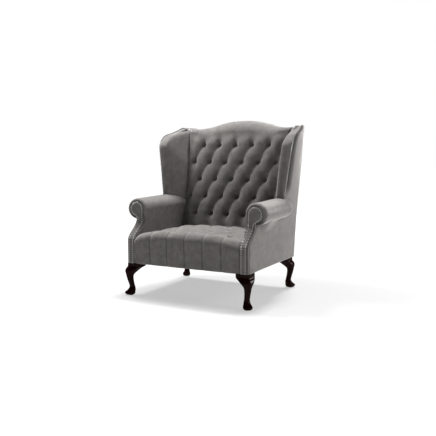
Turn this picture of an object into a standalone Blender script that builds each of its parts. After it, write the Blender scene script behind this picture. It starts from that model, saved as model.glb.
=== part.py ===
"""Buttoned wing chair, a seat and a half wide.

A timber frame on four cabriole legs carries zigzag seat springs, back webbing, a fluted and buttoned seat,
a deep-buttoned back with a camel-back crest, scroll arms, wings and padded outside panels.

Metres, +Z up, the chair faces -Y and right is +X. The pieces are laid out from the front of the body, and
the empty that carries them sets the middle of the chair over the origin, with the floor at z = 0.
"""
import math

import bmesh
import bpy
from mathutils import Matrix, Vector

# Clearance between neighbouring pieces, and between two padded pieces along a curved seam
GAP = 0.0003
SEAM = 0.0008

# Body
SIDE_WIDTH = 0.080
BODY_DEPTH = 0.749
BODY_BASE = 0.215
PANEL = 0.012
FACING = 0.010
REAR_SLOPE = 0.13
REAR_SWEEP = 0.055

# Timber frame
RAIL = 0.025
RAIL_HEIGHT = 0.100
RAIL_SETBACK = 0.022
CENTRE_RAIL_HEIGHT = 0.050
FRONT_POST_DEPTH = 0.045
REAR_POST_DEPTH = 0.050
REAR_POST_WIDTH = 0.050
ARM_RAIL_HEIGHT = 0.060
WING_BOARD = 0.018
WING_BOARD_SETBACK = 0.030
LOWER_BACK_RAIL_Z = 0.360
LOWER_BACK_RAIL_HEIGHT = 0.060
CREST_RAIL_HEIGHT = 0.075
CREST_PAD = 0.050
BLOCK_LEG = 0.085
BLOCK_HEIGHT = 0.050

# Springs and webbing
SPRINGS = 5
SPRING_SPACING = 0.135
SPRING_WIRE = 0.0036
SPRING_WIDTH = 0.046
SPRING_PITCH = 0.036
STRAPS = 5
STRAP = 0.0025
STRAP_WIDTH = 0.050
STRAP_LOW_Z = 0.480
STRAP_HIGH_Z = 0.940

# Buttoning, shared by the seat and the back
BUTTON_PITCH = 0.1285
CELLS_PER_PITCH = 6
PUFF = 0.026
PUFF_POWER = 0.45
DIMPLE = 0.012
DIMPLE_RADIUS = 0.020

# Back pad
BACK_ROWS = 5
BACK_ROW_STEP = 0.1204
TOP_BUTTON_Z = 0.9916
TOP_BUTTON_DEPTH = 0.0428
BACK_RAKE = 0.2723
BACK_CROWN = 0.012
BACK_BOTTOM = 0.335
BACK_BORDER = 0.060
CREST_SHOULDER = 1.110
CREST_HUMP = 0.048
CREST_SHOULDER_WIDTH = 0.064
CREST_HUMP_POWER = 1.35
CREST_CORNER = 0.010
CREST_ROLL_HEIGHT = 0.085
CREST_ROLL_DEPTH = 0.140
CREST_FALL = 0.012
CREST_LAP = 0.020
CREST_PLEAT_FADE = 0.7

# Seat pad
SEAT_REAR_HALF = 0.354
SEAT_SPLAY = 0.021
SEAT_TOP = 0.424
SEAT_BULGE = 0.004
SEAT_EDGE = 0.045
SEAT_SIDE_DROP = 0.034
SEAT_ROWS = 4
SEAT_FIRST_ROW = 0.115
SEAT_ROW_STEP = 0.115
SEAT_PUFF = 0.014
SEAT_FLUTE_FADE = 0.5

# Scroll arms
ROLL_INSET = 0.002
ROLL_Z = 0.5625
ROLL_RADIUS = 0.068
ROLL_REACH = 0.076
ROLL_RISE = 0.0115
ROLL_OVERHANG = 0.008
ROLL_NOSE = 0.035
ROLL_NOSE_SHRINK = 0.20
ROLL_CAP = 0.065
ROLL_SQUARE = 0.25
ROLL_BEHIND_WING = 0.095
ARM_BEHIND_WING = 0.120
SCROLL_RADIUS = 0.048
SCROLL_TURN = math.radians(75)
FACING_RAKE_LOW = 0.365
FACING_SETBACK = 0.100

# Wings
WING_DEPTH = 0.269
WING_FRONT_SLOPE = 0.050
WING_SWEEP = 0.200
WING_SWEEP_POWER = 2.0
WING_SWEEP_Z = 0.965
WING_CURL = 0.062
WING_CURL_START = 0.55
WING_CURL_SPAN = 0.30
WING_TOP = 1.120
WING_LEAN = 0.127
WING_LEAN_Z = 0.390
WING_LEAN_FADE = 1.6
WING_NOSE = 0.016
WING_NOSE_ROUND = 0.020
WING_THICKNESS = 0.060
WING_BULGE = 0.008
WING_FLARE = 0.046
WING_FLARE_HEIGHT = 0.490
WING_FLARE_POWER = 1.6
PANEL_LAP = 0.003

# Legs, bolts, glides and dust cover
LEG_BLOCK = 0.090
REAR_LEG_INSET = 0.015
LEG_SIDES = 12
TURNED_SIDES = 12
LEG_STEPS = 2
GLIDE_RADIUS = 0.014
GLIDE_HEIGHT = 0.004
BOLT_RADIUS = 0.004
BOLT_DEPTH = 0.022
BOLT_INSET = 0.067
REAR_BOLT_INSET = 0.075
NUT_RADIUS = 0.008
NUT_HEIGHT = 0.006
DUST_COVER = 0.0015
DUST_COVER_MARGIN = 0.002

# Cabriole stations from knee block to foot: share of the leg's height, then in widths of the knee block
# the centre along the inward diagonal and the half sizes along and across it, then squareness (2 is round)
LEG_STATIONS = (
    (1.000, 0.707, 0.500, 0.500, 14.0),
    (0.885, 0.635, 0.500, 0.500, 12.0),
    (0.814, 0.459, 0.447, 0.447, 6.0),
    (0.744, 0.318, 0.400, 0.388, 4.0),
    (0.628, 0.194, 0.265, 0.253, 2.8),
    (0.507, 0.212, 0.229, 0.218, 2.3),
    (0.358, 0.294, 0.206, 0.198, 2.0),
    (0.260, 0.347, 0.209, 0.200, 2.0),
    (0.170, 0.306, 0.282, 0.249, 2.0),
    (0.095, 0.188, 0.376, 0.315, 2.0),
    (0.055, 0.182, 0.371, 0.312, 2.0),
    (0.020, 0.194, 0.282, 0.261, 2.0),
)

# Layers through the side, the base and the back
X_OUT = SEAT_REAR_HALF + SIDE_WIDTH
SEAT_FRONT_HALF = SEAT_REAR_HALF + SEAT_SPLAY
TOP_BUTTON_Y = BODY_DEPTH - TOP_BUTTON_DEPTH
WING_FRONT_Y = BODY_DEPTH - WING_DEPTH
ROLL_END = WING_FRONT_Y + ROLL_BEHIND_WING
ARM_END = WING_FRONT_Y + ARM_BEHIND_WING
ROLL_X = X_OUT - ROLL_INSET
CREST_HUMP_HALF = X_OUT - CREST_SHOULDER_WIDTH
X_FRAME_OUT = X_OUT - PANEL - GAP
X_FRAME_IN = X_FRAME_OUT - RAIL
X_PAD_OUT = X_FRAME_IN - GAP
X_POST_IN = X_FRAME_OUT - REAR_POST_WIDTH
RAIL_TOP = BODY_BASE + RAIL_HEIGHT
DECK = RAIL_TOP + SPRING_WIRE + 2 * GAP
REAR_RAIL_REAR = BODY_DEPTH - PANEL - GAP
REAR_RAIL_FRONT = REAR_RAIL_REAR - RAIL
ARM_LINE = ROLL_Z - ROLL_RADIUS
ARM_RAIL_TOP = ARM_LINE - GAP
WING_BASE = ROLL_Z + ROLL_RISE + ROLL_RADIUS + GAP
POST_TOP = CREST_SHOULDER - CREST_PAD
PART_NAME = "chair_and_a_half"
SIDES = (("left", -1), ("right", 1))
ENDS = (("front", 1), ("rear", -1))


def lerp(a, b, t):
    return a + (b - a) * t


def spread(a, b, count):
    """count + 1 evenly spaced values from a to b"""
    return [lerp(a, b, i / count) for i in range(count + 1)]


def clamp(t):
    return min(max(t, 0.0), 1.0)


def smooth(t):
    t = clamp(t)
    return t * t * (3 - 2 * t)


# Surfaces that the pieces share
def rear_y(z):
    """Outside back, raked and swept a little at the top"""
    rise = z - BODY_BASE
    return BODY_DEPTH + REAR_SLOPE * rise + REAR_SWEEP * rise * rise


def panel_y(z):
    """Front of the outside back panel, less the clearance"""
    return rear_y(z) - PANEL - GAP


def post_y(z):
    """Front of the rear posts and of the rails between them"""
    return panel_y(z) - REAR_POST_DEPTH


def pad_rear_y(z):
    """Rear of the back pad, in front of the webbing"""
    return post_y(z) - STRAP - 2 * GAP


def facing_y(z):
    """Front of the arm facings: upright at the base, then raked back to the scroll"""
    return FACING_SETBACK * smooth((z - FACING_RAKE_LOW) / (ARM_LINE - FACING_RAKE_LOW))


def behind_facing(z):
    return facing_y(z) + FACING + GAP


def button_plane_y(x, z):
    """Plane in which the back's buttons lie, crowned forward in the middle"""
    plane = TOP_BUTTON_Y + BACK_RAKE * (z - TOP_BUTTON_Z)
    return plane - BACK_CROWN * (1 - (x / SEAT_REAR_HALF) ** 2)


def crest_z(x):
    """Top line of the back: a hump between two shoulders, flicked up at the corners"""
    share = min(abs(x) / CREST_HUMP_HALF, 1.0)
    past = max(abs(x) - CREST_HUMP_HALF, 0.0) / max(X_OUT - CREST_HUMP_HALF, GAP)
    return CREST_SHOULDER + CREST_HUMP * (1 - share ** 2) ** CREST_HUMP_POWER + CREST_CORNER * past ** 2


def crest_rail_top(x):
    return crest_z(x) - CREST_PAD


def seat_half(y):
    """Half the width between the inside arms, which close in towards the back"""
    return lerp(SEAT_FRONT_HALF, SEAT_REAR_HALF, clamp(y / ARM_END))


def back_half(z):
    """Half the width between the wings where they meet the back"""
    share = max(z - WING_BASE, 0.0) / WING_FLARE_HEIGHT
    return SEAT_REAR_HALF + WING_FLARE * share ** WING_FLARE_POWER


def roll_z(y):
    """Height of the arm roll's centre, rising a little to the back"""
    return ROLL_Z + ROLL_RISE * clamp((y - FACING_SETBACK) / (ROLL_END - FACING_SETBACK))


def wing_sweep(z):
    return clamp((z - WING_SWEEP_Z) / (WING_TOP - WING_SWEEP_Z))


def wing_front_y(z):
    """Nail line of the wing: almost upright, swept back round a lobe, then levelling out to the crest"""
    sweep = WING_SWEEP * wing_sweep(z) ** WING_SWEEP_POWER
    curl = WING_CURL * smooth((wing_sweep(z) - WING_CURL_START) / WING_CURL_SPAN)
    return WING_FRONT_Y + WING_FRONT_SLOPE * (z - WING_BASE) + sweep + curl


def wing_levels():
    """Heights shared by the pieces of a wing, closer together where its front sweeps back"""
    upright = spread(WING_BASE, WING_SWEEP_Z, 3)
    return upright + spread(WING_SWEEP_Z, POST_TOP, 3)[1:] + spread(POST_TOP, WING_TOP, 3)[1:]


def wing_panel_y(z):
    """Front edge of the outside panel along the wing"""
    return wing_front_y(z) + PANEL_LAP + GAP


def side_x(y, z):
    """Outside of the chair: upright at the base and the rear, leaning out towards the front of the wings"""
    rise = max(z - WING_LEAN_Z, 0.0)
    behind = clamp((y - WING_FRONT_Y) / (panel_y(z) - WING_FRONT_Y))
    ahead = clamp((y - FACING_SETBACK) / (WING_FRONT_Y - FACING_SETBACK))
    return X_OUT + WING_LEAN * rise * ahead * (1 - behind ** WING_LEAN_FADE)


def board_out_x(y, z):
    return side_x(y, z) - PANEL - 3 * SEAM


def board_in_x(y, z):
    return board_out_x(y, z) - WING_BOARD


# Buttoning
def puff(x, row, last_row):
    """Share of the full puff at x, row steps from the first row of buttons: diamonds between the first and
    last rows, straight pleats outside them"""
    across = x / BUTTON_PITCH
    along = min(max(row, 0.0), last_row) / 2
    valley = abs(math.sin(math.pi * (across + along)) * math.sin(math.pi * (across - along)))
    return valley ** PUFF_POWER


def dimple(x, row, last_row, row_step, half):
    """Depth at x, row that the nearest button pulls in"""
    nearest = min(max(round(row), 0), last_row)
    offset = 0.5 * (nearest % 2)
    button_x = (round(x / BUTTON_PITCH - offset) + offset) * BUTTON_PITCH
    if abs(button_x) > half - DIMPLE_RADIUS:
        return 0.0
    distance = math.hypot(x - button_x, (row - nearest) * row_step)
    return DIMPLE * math.exp(-((distance / DIMPLE_RADIUS) ** 2))


def column_places():
    """Columns of a buttoned pad that lie on the button grid, short of its edges"""
    step = BUTTON_PITCH / CELLS_PER_PITCH
    reach = int(min(SEAT_FRONT_HALF, SEAT_REAR_HALF) / step - 0.5)
    return [k * step for k in range(-reach, reach + 1)]


def across_row(columns, half):
    """x of each column of a row whose edges lie at -half and half"""
    return [-half] + columns + [half]


# Making objects
def fresh_collection(name):
    collection = bpy.data.collections.new(name)
    bpy.context.scene.collection.children.link(collection)
    return collection


def clear_scene():
    for item in list(bpy.data.objects):
        bpy.data.objects.remove(item)
    for collection in list(bpy.data.collections):
        bpy.data.collections.remove(collection)


def make_material(name, colour, roughness, metallic=0.0):
    material = bpy.data.materials.new(name)
    material.use_nodes = True
    shader = material.node_tree.nodes["Principled BSDF"]
    shader.inputs["Base Color"].default_value = (*colour, 1.0)
    shader.inputs["Roughness"].default_value = roughness
    shader.inputs["Metallic"].default_value = metallic
    material.diffuse_color = (*colour, 1.0)
    return material


def add_part(name, data, material):
    """Link a mesh or a curve as a named piece, carried by the chair's empty"""
    data.materials.append(material)
    piece = bpy.data.objects.new(name, data)
    PARTS.objects.link(piece)
    piece.parent = CARRIER
    return piece


def finish_mesh(name, bm, material, sharp_angle=math.radians(35)):
    bmesh.ops.recalc_face_normals(bm, faces=bm.faces)
    mesh = bpy.data.meshes.new(name)
    bm.to_mesh(mesh)
    bm.free()
    mesh.shade_smooth()
    mesh.set_sharp_from_angle(angle=sharp_angle)
    return add_part(name, mesh, material)


def box(name, material, low, high):
    """Straight timber between two corners"""
    bm = bmesh.new()
    low, high = Vector(low), Vector(high)
    place = Matrix.Translation((low + high) / 2) @ Matrix.Diagonal((*(high - low), 1.0))
    bmesh.ops.create_cube(bm, size=1.0, matrix=place)
    return finish_mesh(name, bm, material)


def prism(name, material, outline, low_z, high_z):
    """A flat outline drawn upwards"""
    bm = bmesh.new()
    face = bm.faces.new([bm.verts.new((x, y, low_z)) for x, y in outline])
    drawn = bmesh.ops.extrude_face_region(bm, geom=[face])
    moved = [item for item in drawn["geom"] if isinstance(item, bmesh.types.BMVert)]
    bmesh.ops.translate(bm, verts=moved, vec=(0, 0, high_z - low_z))
    return finish_mesh(name, bm, material)


def turned(name, material, profile, place):
    """A round piece turned about its own upright axis from a profile of radius and height, top first"""
    mesh = bpy.data.meshes.new(name)
    edges = [(i, i + 1) for i in range(len(profile) - 1)]
    mesh.from_pydata([(radius, 0, height) for radius, height in profile], edges, [])
    piece = add_part(name, mesh, material)
    piece.location = place
    screw = piece.modifiers.new("turn", "SCREW")
    screw.steps = screw.render_steps = TURNED_SIDES
    screw.use_merge_vertices = True
    screw.merge_threshold = 0.00001
    return piece


def loft(name, material, sections, rungs=0):
    """Closed solid through like sections. With rungs, the ends are closed by a ladder of that many steps
    between the start and the end of the section, and one face over the rest"""
    bm = bmesh.new()
    rings = [[bm.verts.new(point) for point in section] for section in sections]
    count = len(rings[0])
    for ring, following in zip(rings, rings[1:]):
        for i in range(count):
            j = (i + 1) % count
            bm.faces.new((ring[i], ring[j], following[j], following[i]))
    for ring in (rings[0], rings[-1]):
        for i in range(rungs):
            bm.faces.new((ring[i], ring[i + 1], ring[-2 - i], ring[-1 - i]))
        bm.faces.new(ring[rungs:count - rungs])
    return finish_mesh(name, bm, material)


def slab(name, material, outer, inner, skipped=None, pleated=False):
    """Closed solid between two grids of points, given as rows of columns. skipped names the cells, as row
    and column, that the outline leaves out. A pleated face is creased along its valleys"""
    bm = bmesh.new()
    rows = len(outer) - 1
    columns = len(outer[0]) - 1
    cells = {(i, j) for i in range(rows) for j in range(columns)} - (skipped or set())
    made = {}

    def vert(layer, i, j):
        key = (id(layer), i, j)
        if key not in made:
            made[key] = bm.verts.new(layer[i][j])
        return made[key]

    flat_faces = []
    for i, j in sorted(cells):
        corners = ((i, j), (i, j + 1), (i + 1, j + 1), (i + 1, j))
        face = [vert(outer, *corner) for corner in corners]
        if pleated:
            depth = Vector(inner[i][j])
            first = (face[0].co + face[2].co) / 2 - depth
            second = (face[1].co + face[3].co) / 2 - depth
            split_on(bm, face, first.length <= second.length)
        else:
            bm.faces.new(face)
        flat_faces.append(bm.faces.new([vert(inner, *corner) for corner in reversed(corners)]))
        beyond = ((i - 1, j), (i, j + 1), (i + 1, j), (i, j - 1))
        for k, neighbour in enumerate(beyond):
            if neighbour not in cells:
                a, b = corners[k], corners[(k + 1) % 4]
                wall = [vert(outer, *b), vert(outer, *a), vert(inner, *a), vert(inner, *b)]
                split_on(bm, wall, (wall[0].co - wall[2].co).length < (wall[1].co - wall[3].co).length)
    bm.normal_update()
    flat_faces = set(flat_faces)
    flat_edges = [edge for edge in bm.edges if flat_faces.issuperset(edge.link_faces)]
    flat_verts = [corner for corner in bm.verts if flat_faces.issuperset(corner.link_faces)]
    bmesh.ops.dissolve_limit(bm, angle_limit=math.radians(0.05), verts=flat_verts, edges=flat_edges)
    return finish_mesh(name, bm, material)


def split_on(bm, face, first_diagonal):
    """Two triangles over a cell, split on its first or its second diagonal"""
    turn = 0 if first_diagonal else 1
    a, b, c, d = face[turn:] + face[:turn]
    bm.faces.new((a, b, c))
    bm.faces.new((a, c, d))


# Timber frame
def raked_bar(name, low_z, high_z, low_x, high_x, steps):
    """A post or rail of the back, following its rake"""
    sections = []
    for z in spread(low_z, high_z, steps):
        front = post_y(z)
        rear = panel_y(z)
        sections.append([(low_x, front, z), (high_x, front, z), (high_x, rear, z), (low_x, rear, z)])
    return loft(name, BEECH, sections)


def base_frame():
    front = RAIL_SETBACK
    back = RAIL_SETBACK + RAIL
    half = X_FRAME_IN - GAP
    box("front_rail", BEECH, (-half, front, BODY_BASE), (half, back, RAIL_TOP))
    half = X_POST_IN - GAP
    box("rear_rail", BEECH, (-half, REAR_RAIL_FRONT, BODY_BASE), (half, REAR_RAIL_REAR, RAIL_TOP))
    centre_top = BODY_BASE + CENTRE_RAIL_HEIGHT
    half = RAIL / 2
    box("centre_rail", BEECH, (-half, back + GAP, BODY_BASE), (half, REAR_RAIL_FRONT - GAP, centre_top))
    side_front = behind_facing(BODY_BASE) + FRONT_POST_DEPTH + GAP
    side_rear = post_y(BODY_BASE) - GAP
    for side, sign in SIDES:
        xs = sorted((sign * X_FRAME_IN, sign * X_FRAME_OUT))
        box(f"{side}_side_rail", BEECH, (xs[0], side_front, BODY_BASE), (xs[1], side_rear, RAIL_TOP))


def facing_levels(top):
    """Heights that follow the facing's rake, from the base of the body"""
    upright = [BODY_BASE, (BODY_BASE + FACING_RAKE_LOW) / 2]
    return upright + spread(FACING_RAKE_LOW, top, 5)


def front_post(side, sign):
    sections = []
    for z in facing_levels(ARM_RAIL_TOP):
        front = behind_facing(z)
        back = front + FRONT_POST_DEPTH
        inner, outer = sign * X_FRAME_IN, sign * X_FRAME_OUT
        sections.append([(inner, front, z), (outer, front, z), (outer, back, z), (inner, back, z)])
    loft(f"{side}_front_post", BEECH, sections)


def arm_rail(side, sign):
    """Rail under the arm roll, from the front post to the rear post, rising with the roll"""
    low = ARM_RAIL_TOP - ARM_RAIL_HEIGHT
    inner, outer = sign * X_FRAME_IN, sign * X_FRAME_OUT
    front = behind_facing(ARM_RAIL_TOP) + FRONT_POST_DEPTH + GAP
    sections = []
    for y in (front, ROLL_END, post_y(low) - GAP):
        high = roll_z(y) - ROLL_RADIUS - GAP
        sections.append([(inner, y, low), (outer, y, low), (outer, y, high), (inner, y, high)])
    loft(f"{side}_arm_rail", BEECH, sections)


def rear_post(side, sign):
    xs = sorted((sign * X_POST_IN, sign * X_FRAME_OUT))
    raked_bar(f"{side}_rear_post", BODY_BASE, POST_TOP, xs[0], xs[1], 7)


def wing_board(side, sign):
    """Upright board of the wing: a stump on the arm rail, widening above the arm to the wing's front"""
    levels = [ARM_LINE + ROLL_RISE] + [z for z in wing_levels() if z < POST_TOP - GAP] + [POST_TOP - GAP]
    outer, inner = [], []
    for z in levels:
        front = wing_front_y(max(z, WING_BASE)) + WING_BOARD_SETBACK + 2 * SEAM
        stump = max(ARM_END + GAP, front + GAP)
        rear = post_y(z) - GAP
        places = [front] + spread(stump, rear, 4)
        outer.append([(sign * board_out_x(y, z), y, z) for y in places])
        inner.append([(sign * board_in_x(y, z), y, z) for y in places])
    slab(f"{side}_wing_board", BEECH, outer, inner, skipped={(0, 0)})


def back_rails():
    half = X_POST_IN - GAP
    high = LOWER_BACK_RAIL_Z + LOWER_BACK_RAIL_HEIGHT
    raked_bar("lower_back_rail", LOWER_BACK_RAIL_Z, high, -half, half, 1)
    front, rear = [], []
    for share in (0.0, 1.0):
        row = across_row([x for x in column_places() if abs(x) < half], half)
        heights = [(x, crest_rail_top(x) - CREST_RAIL_HEIGHT * (1 - share)) for x in row]
        front.append([(x, post_y(z), z) for x, z in heights])
        rear.append([(x, panel_y(z), z) for x, z in heights])
    slab("crest_rail", BEECH, front, rear)


# Springs and webbing
def seat_spring(name, x):
    """Zigzag wire lying on the front and rear rails"""
    front = RAIL_SETBACK + RAIL / 2
    rear = (REAR_RAIL_FRONT + REAR_RAIL_REAR) / 2
    turns = max(int((rear - front) / SPRING_PITCH), 2)
    pitch = (rear - front) / turns
    corner = pitch / 4
    points = [(0.0, front)]
    for i in range(turns):
        swing = SPRING_WIDTH / 2 * (-1) ** i
        middle = front + (i + 0.5) * pitch
        points += [(swing, middle - corner), (swing, middle + corner)]
    points.append((0.0, rear))
    curve = bpy.data.curves.new(name, "CURVE")
    curve.dimensions = "3D"
    curve.bevel_depth = SPRING_WIRE / 2
    curve.bevel_resolution = 0
    curve.use_fill_caps = True
    spline = curve.splines.new("POLY")
    spline.points.add(len(points) - 1)
    height = RAIL_TOP + GAP + SPRING_WIRE / 2
    for point, (offset, y) in zip(spline.points, points):
        point.co = (x + offset, y, height, 1.0)
    add_part(name, curve, STEEL)


def back_strap(name, z):
    """Webbing across the fronts of the rear posts"""
    half = X_POST_IN + REAR_POST_WIDTH / 3
    slope = REAR_SLOPE + 2 * REAR_SWEEP * (z - BODY_BASE)
    bm = bmesh.new()
    place = (
        Matrix.Translation((0, post_y(z) - GAP - STRAP / 2, z))
        @ Matrix.Rotation(-math.atan(slope), 4, "X")
        @ Matrix.Diagonal((2 * half, STRAP, STRAP_WIDTH, 1.0))
    )
    bmesh.ops.create_cube(bm, size=1.0, matrix=place)
    finish_mesh(name, bm, WEBBING)


# Upholstery
def back_pad():
    """Deep-buttoned inside back that rolls over the crest rail to the outside back"""
    columns = column_places()
    last = BACK_ROWS - 1
    bottom_button_z = TOP_BUTTON_Z - last * BACK_ROW_STEP
    step = BACK_ROW_STEP / (CELLS_PER_PITCH / 2)
    count = round(last * BACK_ROW_STEP / step)
    border_z = bottom_button_z - BACK_BORDER
    levels = spread(BACK_BOTTOM, border_z, 2) + spread(border_z, bottom_button_z, 2)[1:]
    levels += spread(bottom_button_z, TOP_BUTTON_Z, count)[1:]
    front, rear = [], []

    def front_point(x, z, fade):
        row = (TOP_BUTTON_Z - z) / BACK_ROW_STEP
        fade *= smooth((z - border_z) / BACK_BORDER)
        lift = PUFF * puff(x, row, last) - dimple(x, row, last, BACK_ROW_STEP, SEAT_REAR_HALF)
        return (x, button_plane_y(x, z) - lift * fade, z)

    for z in levels:
        row = across_row(columns, back_half(z) - SEAM)
        front.append([front_point(x, z, 1.0) for x in row])
    edge_crest = crest_z(SEAT_REAR_HALF + WING_FLARE)
    edge_start = edge_crest - CREST_ROLL_HEIGHT
    for share in spread(0.0, 1.0, 3)[1:]:
        row = across_row(columns, back_half(lerp(TOP_BUTTON_Z, edge_start, share)) - SEAM)
        starts = [crest_z(x) - CREST_ROLL_HEIGHT for x in row]
        fade = 1 - CREST_PLEAT_FADE * share
        front.append([front_point(x, lerp(TOP_BUTTON_Z, top, share), fade) for x, top in zip(row, starts)])
    corner_row = len(front)
    clear_of_rail = 1 - (CREST_PAD - RAIL / 5) / CREST_ROLL_HEIGHT
    turns = spread(math.asin(clamp(clear_of_rail)) / (math.pi / 2), 1.0, 4)
    edge = front[-1]
    for turn in turns:
        angle = turn * math.pi / 2
        back = CREST_ROLL_DEPTH * (1 - math.cos(angle))
        up = CREST_ROLL_HEIGHT * math.sin(angle)
        row = across_row(columns, back_half(edge_start + up) - SEAM)
        front.append([(x, y + back, z + up) for x, (_, y, z) in zip(row, edge)])

    for z in spread(BACK_BOTTOM, POST_TOP - CREST_PAD, corner_row - 2):
        rear.append([(x, pad_rear_y(z), z) for x in across_row(columns, back_half(z) - SEAM)])
    under = across_row(columns, back_half(edge_crest - CREST_PAD) - SEAM)
    rear.append([(x, pad_rear_y(crest_rail_top(x) + GAP), crest_rail_top(x) + GAP) for x in under])
    for turn in turns:
        share = (turn - turns[0]) / (1 - turns[0])
        low, high = edge_crest - CREST_PAD, edge_crest - CREST_FALL
        row = across_row(columns, back_half(lerp(low, high, share)) - SEAM)
        heights = [lerp(crest_rail_top(x) + GAP, crest_z(x) - CREST_FALL, share) for x in row]
        rear.append([(x, panel_y(z), z) for x, z in zip(row, heights)])
    slab("back_pad", FABRIC, front, rear, pleated=True)


def seat_pad():
    """Seat with a fluted front border over the rail and a buttoned top"""
    columns = column_places()
    last = SEAT_ROWS - 1
    skirt_y = RAIL_SETBACK - GAP
    step = SEAT_ROW_STEP / (CELLS_PER_PITCH / 2)

    def lift(x, row, fade):
        dent = dimple(x, row, last, SEAT_ROW_STEP, SEAT_REAR_HALF)
        return (SEAT_PUFF * puff(x, row, last) - dent) * fade

    def side_drop(x, y):
        return SEAT_SIDE_DROP * abs(x / seat_half(y)) ** 4

    outer, inner = [], []
    flute_row = -SEAT_FIRST_ROW / SEAT_ROW_STEP
    edge_low = SEAT_TOP - SEAT_EDGE - SEAT_SIDE_DROP
    for z in spread(BODY_BASE, DECK, 2) + [edge_low]:
        row = across_row(columns, SEAT_FRONT_HALF - SEAM)
        bow = SEAT_BULGE * math.sin(math.pi * clamp((z - BODY_BASE) / (edge_low - BODY_BASE)) / 2)
        fade = lerp(SEAT_FLUTE_FADE, 1.0, smooth((z - BODY_BASE) / (edge_low - BODY_BASE)))
        outer.append([(x, -bow - lift(x, flute_row, fade), z) for x in row])
        inner.append([(x, skirt_y, min(z, DECK)) for x in row])
    edge_steps = 4
    under_edge = spread(skirt_y, SEAT_EDGE, edge_steps + 1)[1:]
    inner[-1] = [(x, under_edge[0], DECK) for x in row]
    for share, under_y in zip(spread(0.0, 1.0, edge_steps)[1:], under_edge[1:]):
        angle = share * math.pi / 2
        line = []
        row = across_row(columns, seat_half(SEAT_EDGE * share) - SEAM)
        for x in row:
            out = lift(x, flute_row, 1.0)
            y = SEAT_EDGE - SEAT_BULGE - (SEAT_EDGE + out) * math.cos(angle)
            z = SEAT_TOP - SEAT_EDGE - side_drop(x, y) + (SEAT_EDGE + out) * math.sin(angle)
            line.append((x, y, z))
        outer.append(line)
        inner.append([(x, under_y, DECK) for x in row])
    rear_limit = button_plane_y(0.0, SEAT_TOP) - GAP
    places = spread(SEAT_EDGE, SEAT_FIRST_ROW, 2)[1:]
    count = int((rear_limit - step - SEAT_FIRST_ROW) / step)
    places += [SEAT_FIRST_ROW + (i + 1) * step for i in range(count)]
    for y in places:
        row = across_row(columns, seat_half(y) - SEAM)
        along = (y - SEAT_FIRST_ROW) / SEAT_ROW_STEP
        fade = smooth((rear_limit - y) / SEAT_ROW_STEP)
        outer.append([(x, y, SEAT_TOP - side_drop(x, y) + lift(x, along, fade)) for x in row])
        inner.append([(x, y, DECK) for x in row])
    row = across_row(columns, SEAT_REAR_HALF - SEAM)
    heights = [SEAT_TOP - side_drop(x, rear_limit) for x in row]
    outer.append([(x, button_plane_y(x, z) - GAP, z) for x, z in zip(row, heights)])
    inner.append([(x, button_plane_y(x, DECK) - GAP, DECK) for x in row])
    slab("seat_pad", FABRIC, outer, inner, pleated=True)


def arm_pad(side, sign):
    """Inside arm and roll in one: a rounded front, an inner half that squares up under the wing and an outer
    half that ends against the outside panel"""
    start = behind_facing(ARM_LINE)
    levels = [DECK] + [z for z in facing_levels(ARM_LINE) if z > DECK + RAIL]
    roll_start, roll_stop, roll_facets = math.radians(190), math.radians(-90), 14
    angles = spread(roll_start, roll_stop, roll_facets)

    def section(front, shrink, cut):
        """Comma-shaped section: inner face upwards, round the roll, then down beside the frame"""
        centre_z = roll_z(front)
        ahead = front - start
        run = (ARM_END - front) / (ARM_END - start)
        radius = ROLL_RADIUS * shrink
        limit = X_FRAME_OUT
        points = []
        for z in levels:
            y = ahead + lerp(start, behind_facing(z), run)
            points.append((seat_half(y) + ROLL_RADIUS * (1 - shrink) / 2, y, z))
        overhang = ROLL_OVERHANG * (1 - clamp((front - start) / (ROLL_END - start)))
        inner_radius = (ROLL_X - seat_half(front) + overhang) * shrink
        under_wing = smooth((front - WING_FRONT_Y + WING_NOSE) / WING_NOSE_ROUND)
        for angle in angles:
            across, up = math.cos(angle), math.sin(angle)
            if across < 0 < up:
                power = lerp(1.0, ROLL_SQUARE, under_wing)
                across, up = -(-across) ** power, up ** power
            x = ROLL_X + (ROLL_REACH * shrink if across > 0 else inner_radius) * across
            if x > limit:
                x = limit + (x - limit) * cut
            points.append((x, front, centre_z + radius * up))
        points.append((X_PAD_OUT, front, centre_z - ROLL_RADIUS))
        for z in reversed(levels[:-1]):
            y = ahead + lerp(start, behind_facing(z), run)
            points.append((X_PAD_OUT, y, z))
        return [(sign * x, y, z) for x, y, z in points]

    sections = []
    for share in (0.0, 0.2, 0.5, 1.0):
        shrink = 1 - ROLL_NOSE_SHRINK * (1 - share) ** 2
        sections.append(section(start + ROLL_NOSE * share, shrink, 1.0))
    cap_start = ROLL_END - ROLL_CAP
    wing_start = WING_FRONT_Y - WING_NOSE
    for y in spread(start + ROLL_NOSE, wing_start, 4)[1:] + [cap_start]:
        sections.append(section(y, 1.0, 1.0))
    for angle in spread(0.0, math.pi / 2, 4)[1:]:
        y = cap_start + ROLL_CAP * math.sin(angle)
        sections.append(section(y, 1.0, math.cos(angle)))
    sections.append(section(ARM_END, 1.0, 0.0))
    loft(f"{side}_arm_pad", FABRIC, sections, rungs=len(levels) - 1)


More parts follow.
